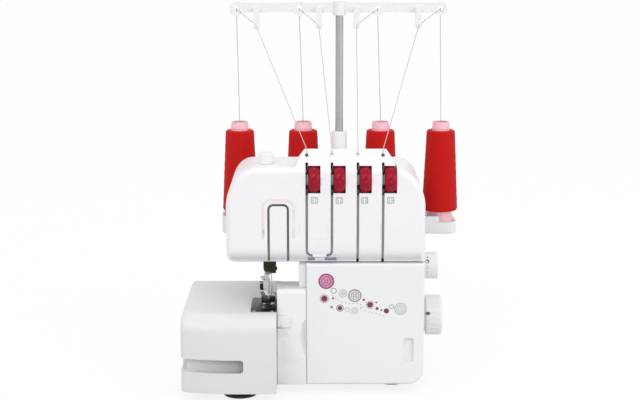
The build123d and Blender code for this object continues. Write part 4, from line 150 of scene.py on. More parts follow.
class Tree:
    """Shorthand for building one material's nodes."""

    def __init__(self, name):
        self.material = bpy.data.materials.new(name)
        self.material.use_nodes = True
        self.nodes = self.material.node_tree.nodes
        self.links = self.material.node_tree.links
        self.shader = self.nodes["Principled BSDF"]
        self.output = self.nodes["Material Output"]
        self.coords = self.nodes.new("ShaderNodeTexCoord")

    def put(self, socket, value):
        """Join another node's output to a socket, or set the socket's value."""
        if isinstance(value, bpy.types.NodeSocket):
            self.links.new(value, socket)
        elif value is not None:
            socket.default_value = value

    def set(self, **values):
        """Put values on the shader's own sockets: base_color is its Base Color, and so on."""
        for name, value in values.items():
            self.put(self.shader.inputs[name.replace("_", " ").title().replace("Ior", "IOR")], value)
        return self.material

    def math(self, operation, a, b=None, c=None, clamp=False):
        node = self.nodes.new("ShaderNodeMath")
        node.operation = operation
        node.use_clamp = clamp
        for socket, value in zip(node.inputs, (a, b, c)):
            self.put(socket, value)
        return node.outputs[0]

    def noise(self, scale, detail=2.0, roughness=0.5, vector=None):
        """Cloudy noise from 0 to 1, in the piece's own coordinates unless vector is given."""
        node = self.nodes.new("ShaderNodeTexNoise")
        self.put(node.inputs["Vector"], vector or self.coords.outputs["Object"])
        node.inputs["Scale"].default_value = scale
        node.inputs["Detail"].default_value = detail
        node.inputs["Roughness"].default_value = roughness
        return node.outputs["Fac"]

    def span(self, value, from_low, from_high, low, high, smooth=False):
        """value carried from one range to another, and held at the ends."""
        node = self.nodes.new("ShaderNodeMapRange")
        if smooth:
            node.interpolation_type = "SMOOTHSTEP"
        for socket, v in zip(node.inputs, (value, from_low, from_high, low, high)):
            self.put(socket, v)
        return node.outputs[0]

    def mix(self, factor, a, b, blend="MIX"):
        node = self.nodes.new("ShaderNodeMix")
        node.data_type = "RGBA"
        node.blend_type = blend
        self.put(node.inputs["Factor"], factor)
        self.put(node.inputs["A"], a)
        self.put(node.inputs["B"], b)
        return node.outputs["Result"]

    def tint(self, colour, tone):
        """A colour made darker or lighter by a changing tone."""
        node = self.nodes.new("ShaderNodeCombineColor")
        for socket, channel in zip(node.inputs, colour):
            self.put(socket, self.math("MULTIPLY", tone, channel))
        return node.outputs[0]

    def split(self, vector=None):
        """The three numbers of a vector, or of the piece's own coordinates."""
        node = self.nodes.new("ShaderNodeSeparateXYZ")
        self.put(node.inputs[0], vector or self.coords.outputs["Object"])
        return node.outputs

    def stretch(self, x, y, z):
        """The piece's own coordinates, scaled along each axis."""
        node = self.nodes.new("ShaderNodeMapping")
        self.put(node.inputs["Vector"], self.coords.outputs["Object"])
        node.inputs["Scale"].default_value = (x, y, z)
        return node.outputs[0]

    def bump(self, height, distance, strength=1.0, normal=None):
        node = self.nodes.new("ShaderNodeBump")
        node.inputs["Strength"].default_value = strength
        node.inputs["Distance"].default_value = distance
        self.put(node.inputs["Height"], height)
        self.put(node.inputs["Normal"], normal)
        return node.outputs[0]

    def within(self, value, low, high):
        """1 where value lies between low and high, 0 elsewhere."""
        above = self.math("GREATER_THAN", value, low)
        return self.math("MULTIPLY", above, self.math("LESS_THAN", value, high))


# ---------------------------------------------------------------- materials
def plastic(name, colour, rough=0.3, grain=0.00004, variation=0.03, scale=1400,
            groove=None, deep=(188, 183, 182), lean=None):
    """Moulded plastic: faint cloudy colour, fine spark-eroded grain and uneven gloss. groove marks where
    shade is painted into the colour, mixed towards the colour deep, and lean gives another shading normal."""
    t = Tree(name)
    cloud = t.noise(9, 3)
    dust = t.noise(160, 4, 0.6)
    tone = t.span(cloud, 0.3, 0.7, 1 - variation, 1)
    tone = t.math("MULTIPLY", tone, t.span(dust, 0.35, 0.75, 1, 1 - variation * 0.6))
    shade = t.tint(srgb(*colour), tone)
    # painted shade: where groove marks a recess, the colour is mixed towards deep
    if groove:
        shade = t.mix(groove(t), shade, t.tint(srgb(*deep), tone))
    fine = t.noise(scale, 3, 0.65)
    return t.set(
        base_color=shade,
        roughness=t.span(dust, 0.3, 0.7, rough - 0.04, rough + 0.06),
        ior=1.49,
        normal=t.bump(fine, grain, 0.5, lean(t) if lean else None),
    )


def metal(name, colour, rough=0.25, brush=(1, 1, 1), depth=0.00003, wear=0.15, spots=0.0):
    """Metal with fine brushing along one direction, small scratches and duller blots."""
    t = Tree(name)
    brushed = t.noise(900, 3, 0.6, t.stretch(*brush))
    blot = t.noise(70, 3)
    tone = t.math("MULTIPLY", t.span(brushed, 0.3, 0.7, 1 - wear, 1), t.span(blot, 0.3, 0.7, 0.93 - spots, 1))
    matt = t.span(brushed, 0.3, 0.7, rough - 0.06, rough + 0.1)
    return t.set(
        base_color=t.tint(srgb(*colour), tone),
        metallic=1.0,
        roughness=t.math("ADD", matt, t.span(blot, 0.3, 0.7, 0.05, 0)),
        normal=t.bump(brushed, depth, 0.4),
    )


def u_groove(t):
    """Where painted shade darkens the walls and floor of the inverted U that is sunk into the head's front.
    """
    left_leg, right_leg = (-0.0737, -0.0705), (-0.0491, -0.0459)
    foot, arch, crown = 0.1750, 0.2410, 0.2506
    x, y, z = t.split()
    legs = t.math("MAXIMUM", t.within(x, *left_leg), t.within(x, *right_leg))
    top = t.math("MULTIPLY", t.within(x, left_leg[0], right_leg[1]), t.within(z, arch, crown))
    deep = t.math("MULTIPLY", t.within(y, -0.0934, -0.080), t.within(z, foot, crown))
    return t.math("MULTIPLY", t.math("MAXIMUM", legs, top), deep)


def finger_groove(t):
    """Painted shade in the flat bed's finger groove, darkest at its closed right end and under its upper
    edge.
    """
    box_x, box_y, box_z = (-0.19, -0.1038), (-0.1312, -0.0868), (0.0392, 0.0568)
    x, y, z = t.split()
    inside = t.math("MULTIPLY", t.within(z, *box_z), t.within(x, *box_x))
    inside = t.math("MULTIPLY", inside, t.within(y, *box_y))
    depth = t.math("MULTIPLY", t.span(x, -0.178, -0.108, 0.1, 1), t.span(z, 0.042, 0.056, 0.75, 1))
    return t.math("MULTIPLY", inside, depth)


def tilted(t, normal, lift):
    """The normal with a vector added to it, at unit length."""
    added = t.nodes.new("ShaderNodeCombineXYZ")
    for socket, value in zip(added.inputs, lift):
        t.put(socket, value)
    total = t.nodes.new("ShaderNodeVectorMath")
    total.operation = "ADD"
    t.put(total.inputs[0], normal)
    t.put(total.inputs[1], added.outputs[0])
    level = t.nodes.new("ShaderNodeVectorMath")
    level.operation = "NORMALIZE"
    t.put(level.inputs[0], total.outputs[0])
    return level.outputs[0]


def soft_crease(t):
    """The shading normal: eased over the crease where the head's front leans in, rolled under at its foot."""
    normal = t.nodes.new("ShaderNodeNewGeometry").outputs["Normal"]
    facing = t.math("LESS_THAN", t.split(normal)[1], -0.9)
    z = t.split()[2]
    below = t.math("MULTIPLY", facing, t.within(z, 0.170, 0.2002))
    eased = t.span(z, 0.180, 0.200, 0, 0.185, smooth=True)
    rolled = t.span(z, 0.1735, 0.193, -0.95, 0, smooth=True)
    return tilted(t, normal, (0, 0, t.math("MULTIPLY", below, t.math("ADD", eased, rolled))))


def rubber_material():
    """Black rubber under a little grey dust."""
    t = Tree("foot_rubber")
    dust = t.noise(240, 4, 0.7)
    return t.set(
        base_color=t.mix(t.span(dust, 0.4, 0.8, 0, 0.5), srgb(20, 20, 20), srgb(52, 51, 50)),
        roughness=t.span(dust, 0.3, 0.7, 0.55, 0.8),
        normal=t.bump(t.noise(1500, 2), 0.00008, 0.6),
    )


def felt_material():
    """Pale felt of short fibres."""
    t = Tree("cushion_felt")
    fibre = t.noise(1800, 4, 0.8)
    return t.set(
        base_color=t.mix(t.span(fibre, 0.3, 0.7, 0, 1), srgb(196, 196, 194), srgb(226, 226, 224)),
        roughness=0.9,
        sheen_weight=0.4,
        normal=t.bump(fibre, 0.0003, 0.8),
    )


def wound_thread_material():
    """Cross-wound thread: two families of helical strands round the cone's own axis, its colour darker in the
    hollows between strands as painted shade.
    """
    t = Tree("wound_thread")
    x, y, z = t.split()
    angle = t.math("ARCTAN2", y, x)
    strands = []
    for turn in (1, -1):
        phase = t.math("ADD", t.math("MULTIPLY", z, 5200), t.math("MULTIPLY", angle, 14 * turn))
        strands.append(t.math("SINE", t.math("ADD", phase, t.span(t.noise(90, 2), 0, 1, -1.5, 1.5))))
    lozenge = t.math("MULTIPLY", strands[0], strands[1])
    height = t.math("MAXIMUM", strands[0], t.math("MULTIPLY", strands[1], 0.9))
    fray = t.noise(1500, 4, 0.75)
    # painted shade: the colour darkens where the strands' height is low
    tone = t.math("MULTIPLY", t.span(height, -0.4, 1, 0.7, 1.0), t.span(lozenge, -1, 1, 0.93, 1.0))
    tone = t.math("MULTIPLY", tone, t.span(fray, 0.3, 0.7, 0.9, 1.05))
    return t.set(
        base_color=t.tint(srgb(214, 16, 12), tone),
        roughness=0.78,
        specular_ior_level=0.22,
        sheen_weight=0.04,
        normal=t.bump(t.math("ADD", height, t.math("MULTIPLY", fray, 0.5)), 0.00022, 0.7),
    )


def core_material():
    """Thin pink plastic of the cones' cores, a little see-through."""
    t = Tree("cone_plastic")
    mottle = t.noise(220, 4, 0.7)
    return t.set(
        base_color=t.mix(t.span(mottle, 0.3, 0.7, 0, 1), srgb(247, 184, 196), srgb(243, 206, 216)),
        roughness=0.36,
        subsurface_weight=0.3,
        subsurface_radius=(0.004, 0.002, 0.002),
        normal=t.bump(t.noise(900, 2), 0.00005, 0.5),
    )


def dial_material():
    """Tinted plastic: deep magenta under a thin clear gloss."""
    t = Tree("dial_plastic")
    cloud = t.noise(120, 3)
    return t.set(
        base_color=t.mix(t.span(cloud, 0.3, 0.7, 0, 1), srgb(140, 0, 28), srgb(158, 2, 38)),
        roughness=t.span(t.noise(500, 3), 0.3, 0.7, 0.2, 0.3),
        specular_ior_level=0.22,
        normal=t.bump(t.noise(1100, 2), 0.00003, 0.4),
    )


def sewing_thread_material():
    """Twisted thread, pale grey."""
    t = Tree("sewing_thread")
    twist = t.noise(2600, 2, 0.6, t.stretch(1, 1, 2.5))
    return t.set(
        base_color=t.mix(t.span(twist, 0.3, 0.7, 0, 1), srgb(168, 170, 168), srgb(204, 205, 203)),
        roughness=0.75,
        sheen_weight=0.3,
        normal=t.bump(twist, 0.0001, 0.7),
    )


def ink(name, colour):
    """Printed ink: slightly uneven in density, glossier than the plastic under it."""
    t = Tree(name)
    cover = t.noise(1300, 4, 0.7)
    flow = t.noise(140, 2)
    tone = t.math("MULTIPLY", t.span(cover, 0.3, 0.7, 0.9, 1.06), t.span(flow, 0.3, 0.7, 0.95, 1.03))
    return t.set(
        base_color=t.tint(srgb(*colour), tone),
        roughness=t.span(flow, 0.3, 0.7, 0.3, 0.42),
        normal=t.bump(cover, 0.00001, 0.5),
    )


# casing_plastic carries painted shade, mixed towards the colour deep, in the U sunk into the head's front
casing = plastic("casing_plastic", (241, 240, 243), rough=0.36, groove=u_groove, lean=soft_crease)
trim_plastic = plastic("trim_plastic", (240, 239, 242), rough=0.36)
cover_plastic = plastic("cover_plastic", (236, 238, 240), rough=0.38)
# bed_plastic carries painted shade in the flat bed's finger groove, mixed towards the grey deep
bed_plastic = plastic("bed_plastic", (224, 225, 226), rough=0.32, groove=finger_groove, deep=(150, 153, 156))
arm_plastic = plastic("arm_plastic", (224, 225, 226), rough=0.32)
part_plastic = plastic("part_plastic", (237, 237, 236), rough=0.34)
black_plastic = plastic("black_plastic", (34, 33, 33), rough=0.4, variation=0.25)
mark_plastic = plastic("mark_plastic", (126, 127, 130), rough=0.5, variation=0.1)
# lavender plastic: the lever pin's own colour, and painted shade on the plate under the first two slots
lavender_plastic_and_painted_shade = plastic("lavender_plastic_and_painted_shade", (206, 208, 219), rough=0.42)
steel = metal("steel", (208, 208, 207), 0.2)
plate_steel = metal("plate_steel", (128, 127, 127), 0.36, brush=(0.2, 3, 1), spots=0.05)
chrome = metal("chrome", (222, 222, 223), 0.1, wear=0.06)
aluminium = metal("mast_aluminium", (188, 188, 191), 0.34, brush=(4, 4, 0.15))
blackened = metal("blackened_steel", (58, 54, 50), 0.36)
cast_paint = plastic("casting_paint", (150, 152, 156), rough=0.55, grain=0.0003, scale=500, variation=0.12)
rubber = rubber_material()
felt = felt_material()
wound_thread = wound_thread_material()
cone_plastic = core_material()
dial_plastic = dial_material()
sewing_thread = sewing_thread_material()
magenta_ink = ink("magenta_ink", (164, 44, 108))
plum_ink = ink("plum_ink", (112, 50, 84))
rose_ink = ink("rose_ink", (214, 160, 190))
grey_ink = ink("grey_ink", (150, 148, 154))
pale_ink = ink("pale_ink", (202, 202, 206))
icon_ink = ink("icon_ink", (158, 160, 162))
line_ink = ink("line_ink", (224, 222, 222))
peach_ink = ink("peach_ink", (236, 227, 224))
number_ink = ink("number_ink", (186, 58, 88))
dark_ink = ink("dark_ink", (96, 96, 99))


def paint(node_name, material):
    """Put one finished material on a CAD node."""
    mesh = nodes[node_name].data
    mesh.materials.clear()
    mesh.materials.append(material)


for material, names in (
    (casing, "head_cover rear_cover front_frame fixed_bed finger_lever"),
    (cover_plastic, "looper_cover"),
    (bed_plastic, "flat_bed"),
    (arm_plastic, "free_arm_cover"),
    (part_plastic, "spool_stand thread_bar handwheel stitch_length_dial pressure_knob mast_tube"),
    (dial_plastic, "tension_dial_1 tension_dial_2 tension_dial_3 tension_dial_4"),
    (wound_thread, "thread_cones"),
    (cone_plastic, "cone_cores"),
    (felt, "spool_cushions"),
    (plate_steel, "needle_plate tension_spindles tension_frame"),
    (steel, "needle_bar needles presser_bar presser_spring foot_pin foot_holder main_shaft cover_hinge_rod "
            "pivot_pins feed_dogs upper_knife lower_knife knife_carrier upper_looper lower_looper "
            "presser_lifter tension_discs"),
    (aluminium, "mast_rod"),
    (blackened, "needle_clamp presser_foot motor_pulley"),
    (cast_paint, "main_frame shaft_pulley base_plate motor"),
    (rubber, "feet drive_belt"),
    (black_plastic, "power_inlet switch_housing power_switch"),
    (sewing_thread, "thread_1 thread_2 thread_3 thread_4"),
):
    for name in names.split():
        paint(name, material)
for thread in threads:
    thread.data.materials.clear()
    thread.data.materials.append(sewing_thread)


# ---------------------------------------------------------------- mesh helpers
def piece(name, bm, material, body, origin=(0, 0, 0), sharp=32):
    """One finished mesh, its points given in millimetres about origin, riding a body."""
    bmesh.ops.recalc_face_normals(bm, faces=bm.faces)
    mesh = bpy.data.meshes.new(name)
    bm.to_mesh(mesh)
    bm.free()
    mesh.transform(Matrix.Scale(MM, 4))
    mesh.materials.append(material)
    mesh.shade_smooth()
    mesh.set_sharp_from_angle(angle=radians(sharp))
    obj = bpy.data.objects.new(name, mesh)
    obj.location = Vector(origin) * MM
    scene.collection.objects.link(obj)
    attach(obj, body)
    return obj


TURNED = {
    "x": lambda r, a, h: (h, r * cos(a), r * sin(a)),
    "-x": lambda r, a, h: (-h, r * cos(a), r * sin(a)),
    "y": lambda r, a, h: (r * cos(a), h, r * sin(a)),
    "-y": lambda r, a, h: (r * cos(a), -h, r * sin(a)),
    "z": lambda r, a, h: (r * cos(a), r * sin(a), h),
}


def turned(name, outline, at, along, material, body, segments=72, closed=False, sharp=32):
    """A piece turned about an axis through at. outline is (radius, distance along the axis), from end to end;
    a third number cuts grooves of that depth round the rim there. closed joins the outline's two ends."""
    bm = bmesh.new()
    place = TURNED[along]
    rows = []
    for radius, distance, *rib in outline:
        if radius == 0:
            rows.append([bm.verts.new(place(0, 0, distance))])
            continue
        radii = [radius - (rib[0] if rib and i % 2 else 0) for i in range(segments)]
        rows.append([bm.verts.new(place(r, tau * i / segments, distance)) for i, r in enumerate(radii)])
    for a, b in zip(rows, rows[1:] + rows[:1] if closed else rows[1:]):
        for i in range(segments):
            j = (i + 1) % segments
            corners = []
            for corner in (a[i % len(a)], a[j % len(a)], b[j % len(b)], b[i % len(b)]):
                if corner not in corners:
                    corners.append(corner)
            bm.faces.new(corners)
    if not closed:
        for row in (rows[0], rows[-1]):
            if len(row) > 1:
                bm.faces.new(row)
    return piece(name, bm, material, body, at, sharp)


def block(name, low, high, material, body, bevel=0.4, shift=0.0):
    """A box with rounded edges; its top leans by shift in X."""
    bm = bmesh.new()
    bmesh.ops.create_cube(bm, size=1)
    middle = [(a + b) / 2 for a, b in zip(low, high)]
    for vertex in bm.verts:
        lean = shift if vertex.co.z > 0 else 0
        vertex.co = Vector([c * (b - a) for c, a, b in zip(vertex.co, low, high)]) + Vector((lean, 0, 0))
    bmesh.ops.bevel(bm, geom=bm.edges[:], offset=bevel, segments=3, affect="EDGES", profile=0.5)
    return piece(name, bm, material, body, middle)


# flat marks are polygons in the plane of a face, given as lists of two-number points
def disc(x, z, r, count=40):
    return [[(x + r * cos(tau * i / count), z + r * sin(tau * i / count)) for i in range(count)]]


def arc(x, z, r, width, start=0.0, end=360.0, count=48):
    """Part of a ring, its centreline at r."""
    inner, outer = r - width / 2, r + width / 2
    angles = [radians(start + (end - start) * i / count) for i in range(count + 1)]
    return [
        [(x + inner * cos(a), z + inner * sin(a)), (x + outer * cos(a), z + outer * sin(a)),
         (x + outer * cos(b), z + outer * sin(b)), (x + inner * cos(b), z + inner * sin(b))]
        for a, b in zip(angles, angles[1:])
    ]


def stroke(points, width):
    """A line of one width through points."""
    shapes = []
    for (xa, za), (xb, zb) in zip(points, points[1:]):
        length = hypot(xb - xa, zb - za)
        nx, nz = -(zb - za) / length * width / 2, (xb - xa) / length * width / 2
        shapes.append([(xa + nx, za + nz), (xb + nx, zb + nz), (xb - nx, zb - nz), (xa - nx, za - nz)])
    return shapes


def mark(name, shapes, place, material, body):
    """Flat ink marks: each polygon goes where place puts its points."""
    bm = bmesh.new()
    for shape in shapes:
        bm.faces.new([bm.verts.new(place(*point)) for point in shape])
    mesh = bpy.data.meshes.new(name)
    bm.to_mesh(mesh)
    bm.free()
    mesh.transform(Matrix.Scale(MM, 4))
    mesh.materials.append(material)
    obj = bpy.data.objects.new(name, mesh)
    scene.collection.objects.link(obj)
    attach(obj, body)
    return obj


def on_front(y):
    """On a flat front at depth y."""
    return lambda x, z: (x, y, z)


def on_rim(x, y, z, r):
    """On a rim that turns about X: across runs along X, round is the distance round from its front."""
    return lambda across, round_: (x + across, y - r * cos(round_ / r), z + r * sin(round_ / r))


def numeral(text, size):
    """A figure as flat polygons, centred on the origin."""
    font = bpy.data.curves.new("figure", "FONT")
    font.body = text
    font.size = size
    font.align_x = "CENTER"
    font.align_y = "CENTER"
    font.resolution_u = 3
    figure = bpy.data.objects.new("figure", font)
    scene.collection.objects.link(figure)
    bpy.context.view_layer.update()
    mesh = figure.to_mesh()
    shapes = [[tuple(mesh.vertices[i].co.xy) for i in face.vertices] for face in mesh.polygons]
    figure.to_mesh_clear()
    bpy.data.objects.remove(figure)
    return shapes


def moved(shapes, x, z):
    return [[(a + x, b + z) for a, b in shape] for shape in shapes]


# ---------------------------------------------------------------- cones of thread
CONE_FOOT = 204
CONE_STEPS = 28
cone_side = [
    (24.5 - 4.9 * k / CONE_STEPS + 0.10 * cos(1.9 * k) + 0.07 * cos(4.3 * k), 3.4 + 105.6 * k / CONE_STEPS)
    for k in range(CONE_STEPS + 1)
]
cone_outline = [
    (17.4, 0), (21.6, 0), (23.4, 0.5), (24.3, 1.6), *cone_side,
    (19.3, 110.4), (18.4, 111.5), (16.8, 112), (12.2, 112),
]
for number, cone_x in enumerate(CONE_XS, start=1):
    cone = turned(f"wound_cone_{number}", cone_outline, (cone_x, CONE_Y, CONE_FOOT), "z", wound_thread,
                  "machine", segments=96, closed=True, sharp=60)
    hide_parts("thread_cones")

# ---------------------------------------------------------------- tension dials
DIAL_Y, DIAL_Z, DIAL_R, DIAL_WIDTH = -80.0, 279.5, 18.5, 15.0
DIAL_BORE_R, DIAL_RIM_R = 3.05, 14.2
DIAL_SHIFT = 2.0  # from the middle of a slot to its dial's left face
FIGURE_STEP = 28  # degrees from one figure to the next
SLOT_HALF = 1.65
BEAD_R = 2.05
dome = [(DIAL_R - 2.9 * abs(k / 10) ** 2.6, DIAL_WIDTH * (k + 10) / 20) for k in range(-10, 11)]
dial_outline = [(DIAL_BORE_R, 0), (DIAL_RIM_R, 0), *dome, (DIAL_RIM_R, DIAL_WIDTH), (DIAL_BORE_R, DIAL_WIDTH)]
for number, slot_x in enumerate(SLOT_XS, start=1):
    dial_x = slot_x + DIAL_SHIFT
    dial = turned(f"domed_dial_{number}", dial_outline, (dial_x, DIAL_Y, DIAL_Z), "x", dial_plastic,
                  f"dial_{number}", segments=96, closed=True, sharp=50)
    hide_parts(f"tension_dial_{number}")
    figures = []
    for figure in range(10):
        figures += moved(numeral(str(figure), 3.8), 0, (figure - 4) * radians(FIGURE_STEP) * DIAL_R)
    mark(f"dial_figures_{number}", figures, on_rim(dial_x + DIAL_WIDTH / 2, DIAL_Y, DIAL_Z, DIAL_R + 0.04),
         number_ink, f"dial_{number}")
    for end, (low, high, depth) in enumerate(((262.6, 268.0, -86.0), (291.5, 301.5, -81.5)), start=1):
        block(f"slot_back_{number}_{end}", (slot_x - SLOT_HALF, depth, low),
              (slot_x + SLOT_HALF, depth + 1, high), mark_plastic, "machine", bevel=0.1)
bead = [(BEAD_R * cos(radians(a)), BEAD_R * sin(radians(a))) for a in range(-60, 61, 15)]
for number in (2, 3):
    turned(f"guide_bead_{number}", bead, (SLOT_XS[number - 1], -78.4, 309.7), "-y", trim_plastic, "machine",
           segments=32, sharp=60)

# ---------------------------------------------------------------- marks on the head
FACE_Y = -93.5
FRONT = on_front(FACE_Y - 0.06)
OVER_FRONT = on_front(FACE_Y - 0.10)
for number, icon_x in enumerate((-14.2, 17.3, 49.2, 82.1), start=1):
    shapes = stroke([(-3.9, 3.6), (3.9, 3.6), (3.9, -3.6), (-3.9, -3.6), (-3.9, 3.6)], 0.9)
    for row in range(3):
        shapes += stroke([(-2.6, 2 - 2 * row), (-0.5, 2 - 2 * row)], 0.9)
        shapes += stroke([(0.7, 2 - 2 * row), (0.7 + 0.6 * (number - row % 2) % 2 + 1.2, 2 - 2 * row)], 0.9)
    mark(f"guide_icon_{number}", moved(shapes, icon_x, 255.2), FRONT, icon_ink, "machine")

band = stroke([(-79.3, 205.5), (-79.3, 245.0)], 3.6) + arc(-69.3, 245.0, 10, 3.6, 90, 180, 16)
band += stroke([(-69.3, 255.0), (-50.3, 255.0)], 3.6) + arc(-50.3, 245.0, 10, 3.6, 0, 90, 16)
band += stroke([(-40.3, 245.0), (-40.3, 205.5)], 3.6)
mark("threading_band", band, FRONT, peach_ink, "machine")
arrow = [[(-81.2, 212.5), (-76.9, 212.5), (-79.0, 219.0)]] + stroke([(-79.0, 208.5), (-79.0, 213)], 1.0)
mark("threading_arrow", arrow, OVER_FRONT, pale_ink, "machine")
mark("threading_guide_lines",
     stroke([(3.4, 225), (3.4, 205.3), (-19.5, 205.3)], 0.6) + stroke([(69.4, 225), (69.4, 205.5)], 0.7)
     + stroke([(-32.6, 225), (-32.6, 211.5), (-37.0, 211.5)], 0.6),
     FRONT, line_ink, "machine")

# thread guides under the first two slots, on a lavender plate that is painted shade of the recess between
# them
block("slot_painted_shade_plate", (-22.5, -90.35, 175.6), (14.2, -88.6, 181.0), lavender_plastic_and_painted_shade, "machine", bevel=0.5)
block("slot_guide_1", (-22.2, -91.1, 177.0), (-13.6, -89.2, 180.6), mark_plastic, "machine", bevel=0.6)
block("slot_guide_2", (-0.8, -91.1, 177.0), (14.0, -89.2, 180.6), mark_plastic, "machine", bevel=0.6)
block("slot_loop_lip", (-16.4, -91.6, 181.35), (1.0, -89.4, 184.65), trim_plastic, "machine", bevel=0.5)

# a pale strip behind the looper cover's left seam, and the raised panel on the fixed bed
block("seam_strip", (-25.28, -93.35, 14.0), (-24.95, -88.0, 139.0), casing, "machine", bevel=0.05)
block("frame_panel", (-54.2, -93.8, 41.0), (-32.5, -93.3, 72.0), trim_plastic, "machine", bevel=0.2)

# ---------------------------------------------------------------- marks and caps on the wheels
WHEEL_Y, WHEEL_Z, WHEEL_R = -13.5, 83.0, 26.8
STITCH_Y, STITCH_Z, STITCH_R = -36.0, 156.5, 17.34
RIM_X = 129
wheel = on_rim(RIM_X, WHEEL_Y, WHEEL_Z, WHEEL_R + 0.02)
mark("handwheel_dot", stroke([(3.4, 8.9), (9.6, 8.9)], 2.2) + disc(6.5, 8.9, 2.4), wheel, dark_ink, "shaft")
mark("handwheel_line", stroke([(6.8, -0.6), (6.8, -6.0)], 1.3), wheel, grey_ink, "shaft")
stitch = on_rim(RIM_X, STITCH_Y, STITCH_Z, STITCH_R + 0.02)
mark("stitch_dial_dot", disc(3.6, 9.4, 2.6), stitch, dark_ink, "stitch_dial")
figures = []
for figure, turn in (("4", 15.6), ("3", 1.4), ("2", -5.6), ("1", -12.6)):
    figures += moved(numeral(figure, 5.6), 3.8, turn)
mark("stitch_dial_figures", figures, stitch, grey_ink, "stitch_dial")
turned("handwheel_cap", [(8.2, 0), (8.2, 0.9), (7.4, 1.4), (1.6, 1.4), (1.2, 1.0), (0, 1.0)],
       (155, WHEEL_Y, WHEEL_Z), "x", part_plastic, "shaft")
turned("stitch_dial_cap", [(6.5, 0), (6.5, 0.6), (5.8, 1.0), (0, 1.0)], (147, STITCH_Y, STITCH_Z), "x",
       part_plastic, "stitch_dial")

# ---------------------------------------------------------------- print on the looper cover
def button(x, z, r):
    """A sewing button: two rings and four holes."""
    corners = [(k + 0.5) * pi / 2 for k in range(4)]
    holes = [disc(x + r * 0.24 * cos(a), z + r * 0.24 * sin(a), r * 0.12, 16)[0] for a in corners]
    return arc(x, z, r * 0.9, r * 0.2) + arc(x, z, r * 0.56, r * 0.1) + holes


def beads(x, z, r, count, size):
    """A ring of dots."""
    turns = [tau * i / count for i in range(count)]
    return [disc(x + r * cos(a), z + r * sin(a), size, 12)[0] for a in turns]


def stitches(points, dash, gap, width):
    """A row of dashes along a smooth curve through points."""
    curve = []
    ends = [points[0], *points, points[-1]]
    for p, q, r, s in zip(ends, ends[1:], ends[2:], ends[3:]):
        for i in range(24):
            t = i / 24
            curve.append(tuple(
                0.5 * (2 * b + (c - a) * t + (2 * a - 5 * b + 4 * c - d) * t * t
                       + (3 * b - a - 3 * c + d) * t ** 3)
                for a, b, c, d in zip(p, q, r, s)))
    shapes, travelled, drawn = [], 0.0, []
    for a, b in zip(curve, curve[1:]):
        if travelled % (dash + gap) < dash:
            drawn.append(a)
        else:
            shapes += stroke(drawn, width)
            drawn = []
        travelled += hypot(b[0] - a[0], b[1] - a[1])
    return shapes


mark("print_fill", disc(1.0, 150.0, 8.8), FRONT, rose_ink, "front_cover")
mark("print_grey_fills",
     disc(37.5, 131.0, 8.0) + disc(22.5, 134.0, 4.4) + disc(96.0, 113.5, 6.6) + disc(37.5, 111.0, 4.4),
     FRONT, line_ink, "front_cover")
mark("print_magenta",
     button(1.0, 150.0, 10.2) + beads(-1.5, 127.0, 5.2, 14, 0.75) + beads(57.0, 119.0, 5.0, 12, 0.7)
     + disc(49.0, 125.5, 1.6) + disc(66.0, 114.0, 2.1) + disc(71.5, 112.0, 1.3) + disc(9.5, 127.5, 1.4),
     OVER_FRONT, magenta_ink, "front_cover")
mark("print_plum",
     disc(-1.5, 127.0, 4.0) + disc(57.0, 119.0, 3.8) + disc(78.0, 110.8, 3.4) + disc(18.5, 114.5, 2.9)
     + beads(1.0, 150.0, 6.9, 16, 0.5) + disc(65.0, 122.0, 1.2),
     OVER_FRONT, plum_ink, "front_cover")
mark("print_grey",
     button(37.5, 131.0, 8.6) + arc(18.5, 114.5, 4.2, 1.2) + arc(10.5, 137.5, 3.4, 1.0)
     + disc(8.0, 116.0, 1.9) + arc(84.5, 116.5, 2.6, 0.9)
     + stitches([(8, 132), (18, 124), (28, 121), (44, 120), (52, 111), (66, 107), (80, 103)], 3.0, 1.9, 0.6),
     OVER_FRONT, grey_ink, "front_cover")
mark("print_pale",
     arc(96.0, 113.5, 7.4, 1.8) + arc(96.0, 113.5, 4.6, 1.0) + arc(22.5, 134.0, 5.0, 1.3)
     + disc(22.5, 134.0, 2.6) + beads(37.5, 111.0, 4.6, 14, 0.6) + arc(37.5, 111.0, 2.6, 0.9)
     + arc(28.0, 112.5, 2.8, 0.9) + disc(45.5, 115.0, 1.4),
     OVER_FRONT, pale_ink, "front_cover")

# ---------------------------------------------------------------- needle clamp and presser foot
def slab(name, outline, front, rear, material, body, bevel=0.4):
    """A plate with the given outline in the front view, from depth front to depth rear."""
    bm = bmesh.new()
    face = bm.faces.new([bm.verts.new((x, front, z)) for x, z in outline])
    for part in bmesh.ops.extrude_face_region(bm, geom=[face])["geom"]:
        if isinstance(part, bmesh.types.BMVert):
            part.co.y = rear
    bmesh.ops.recalc_face_normals(bm, faces=bm.faces)
    bmesh.ops.bevel(bm, geom=bm.edges[:], offset=bevel, segments=2, affect="EDGES", profile=0.5)
    return piece(name, bm, material, body)


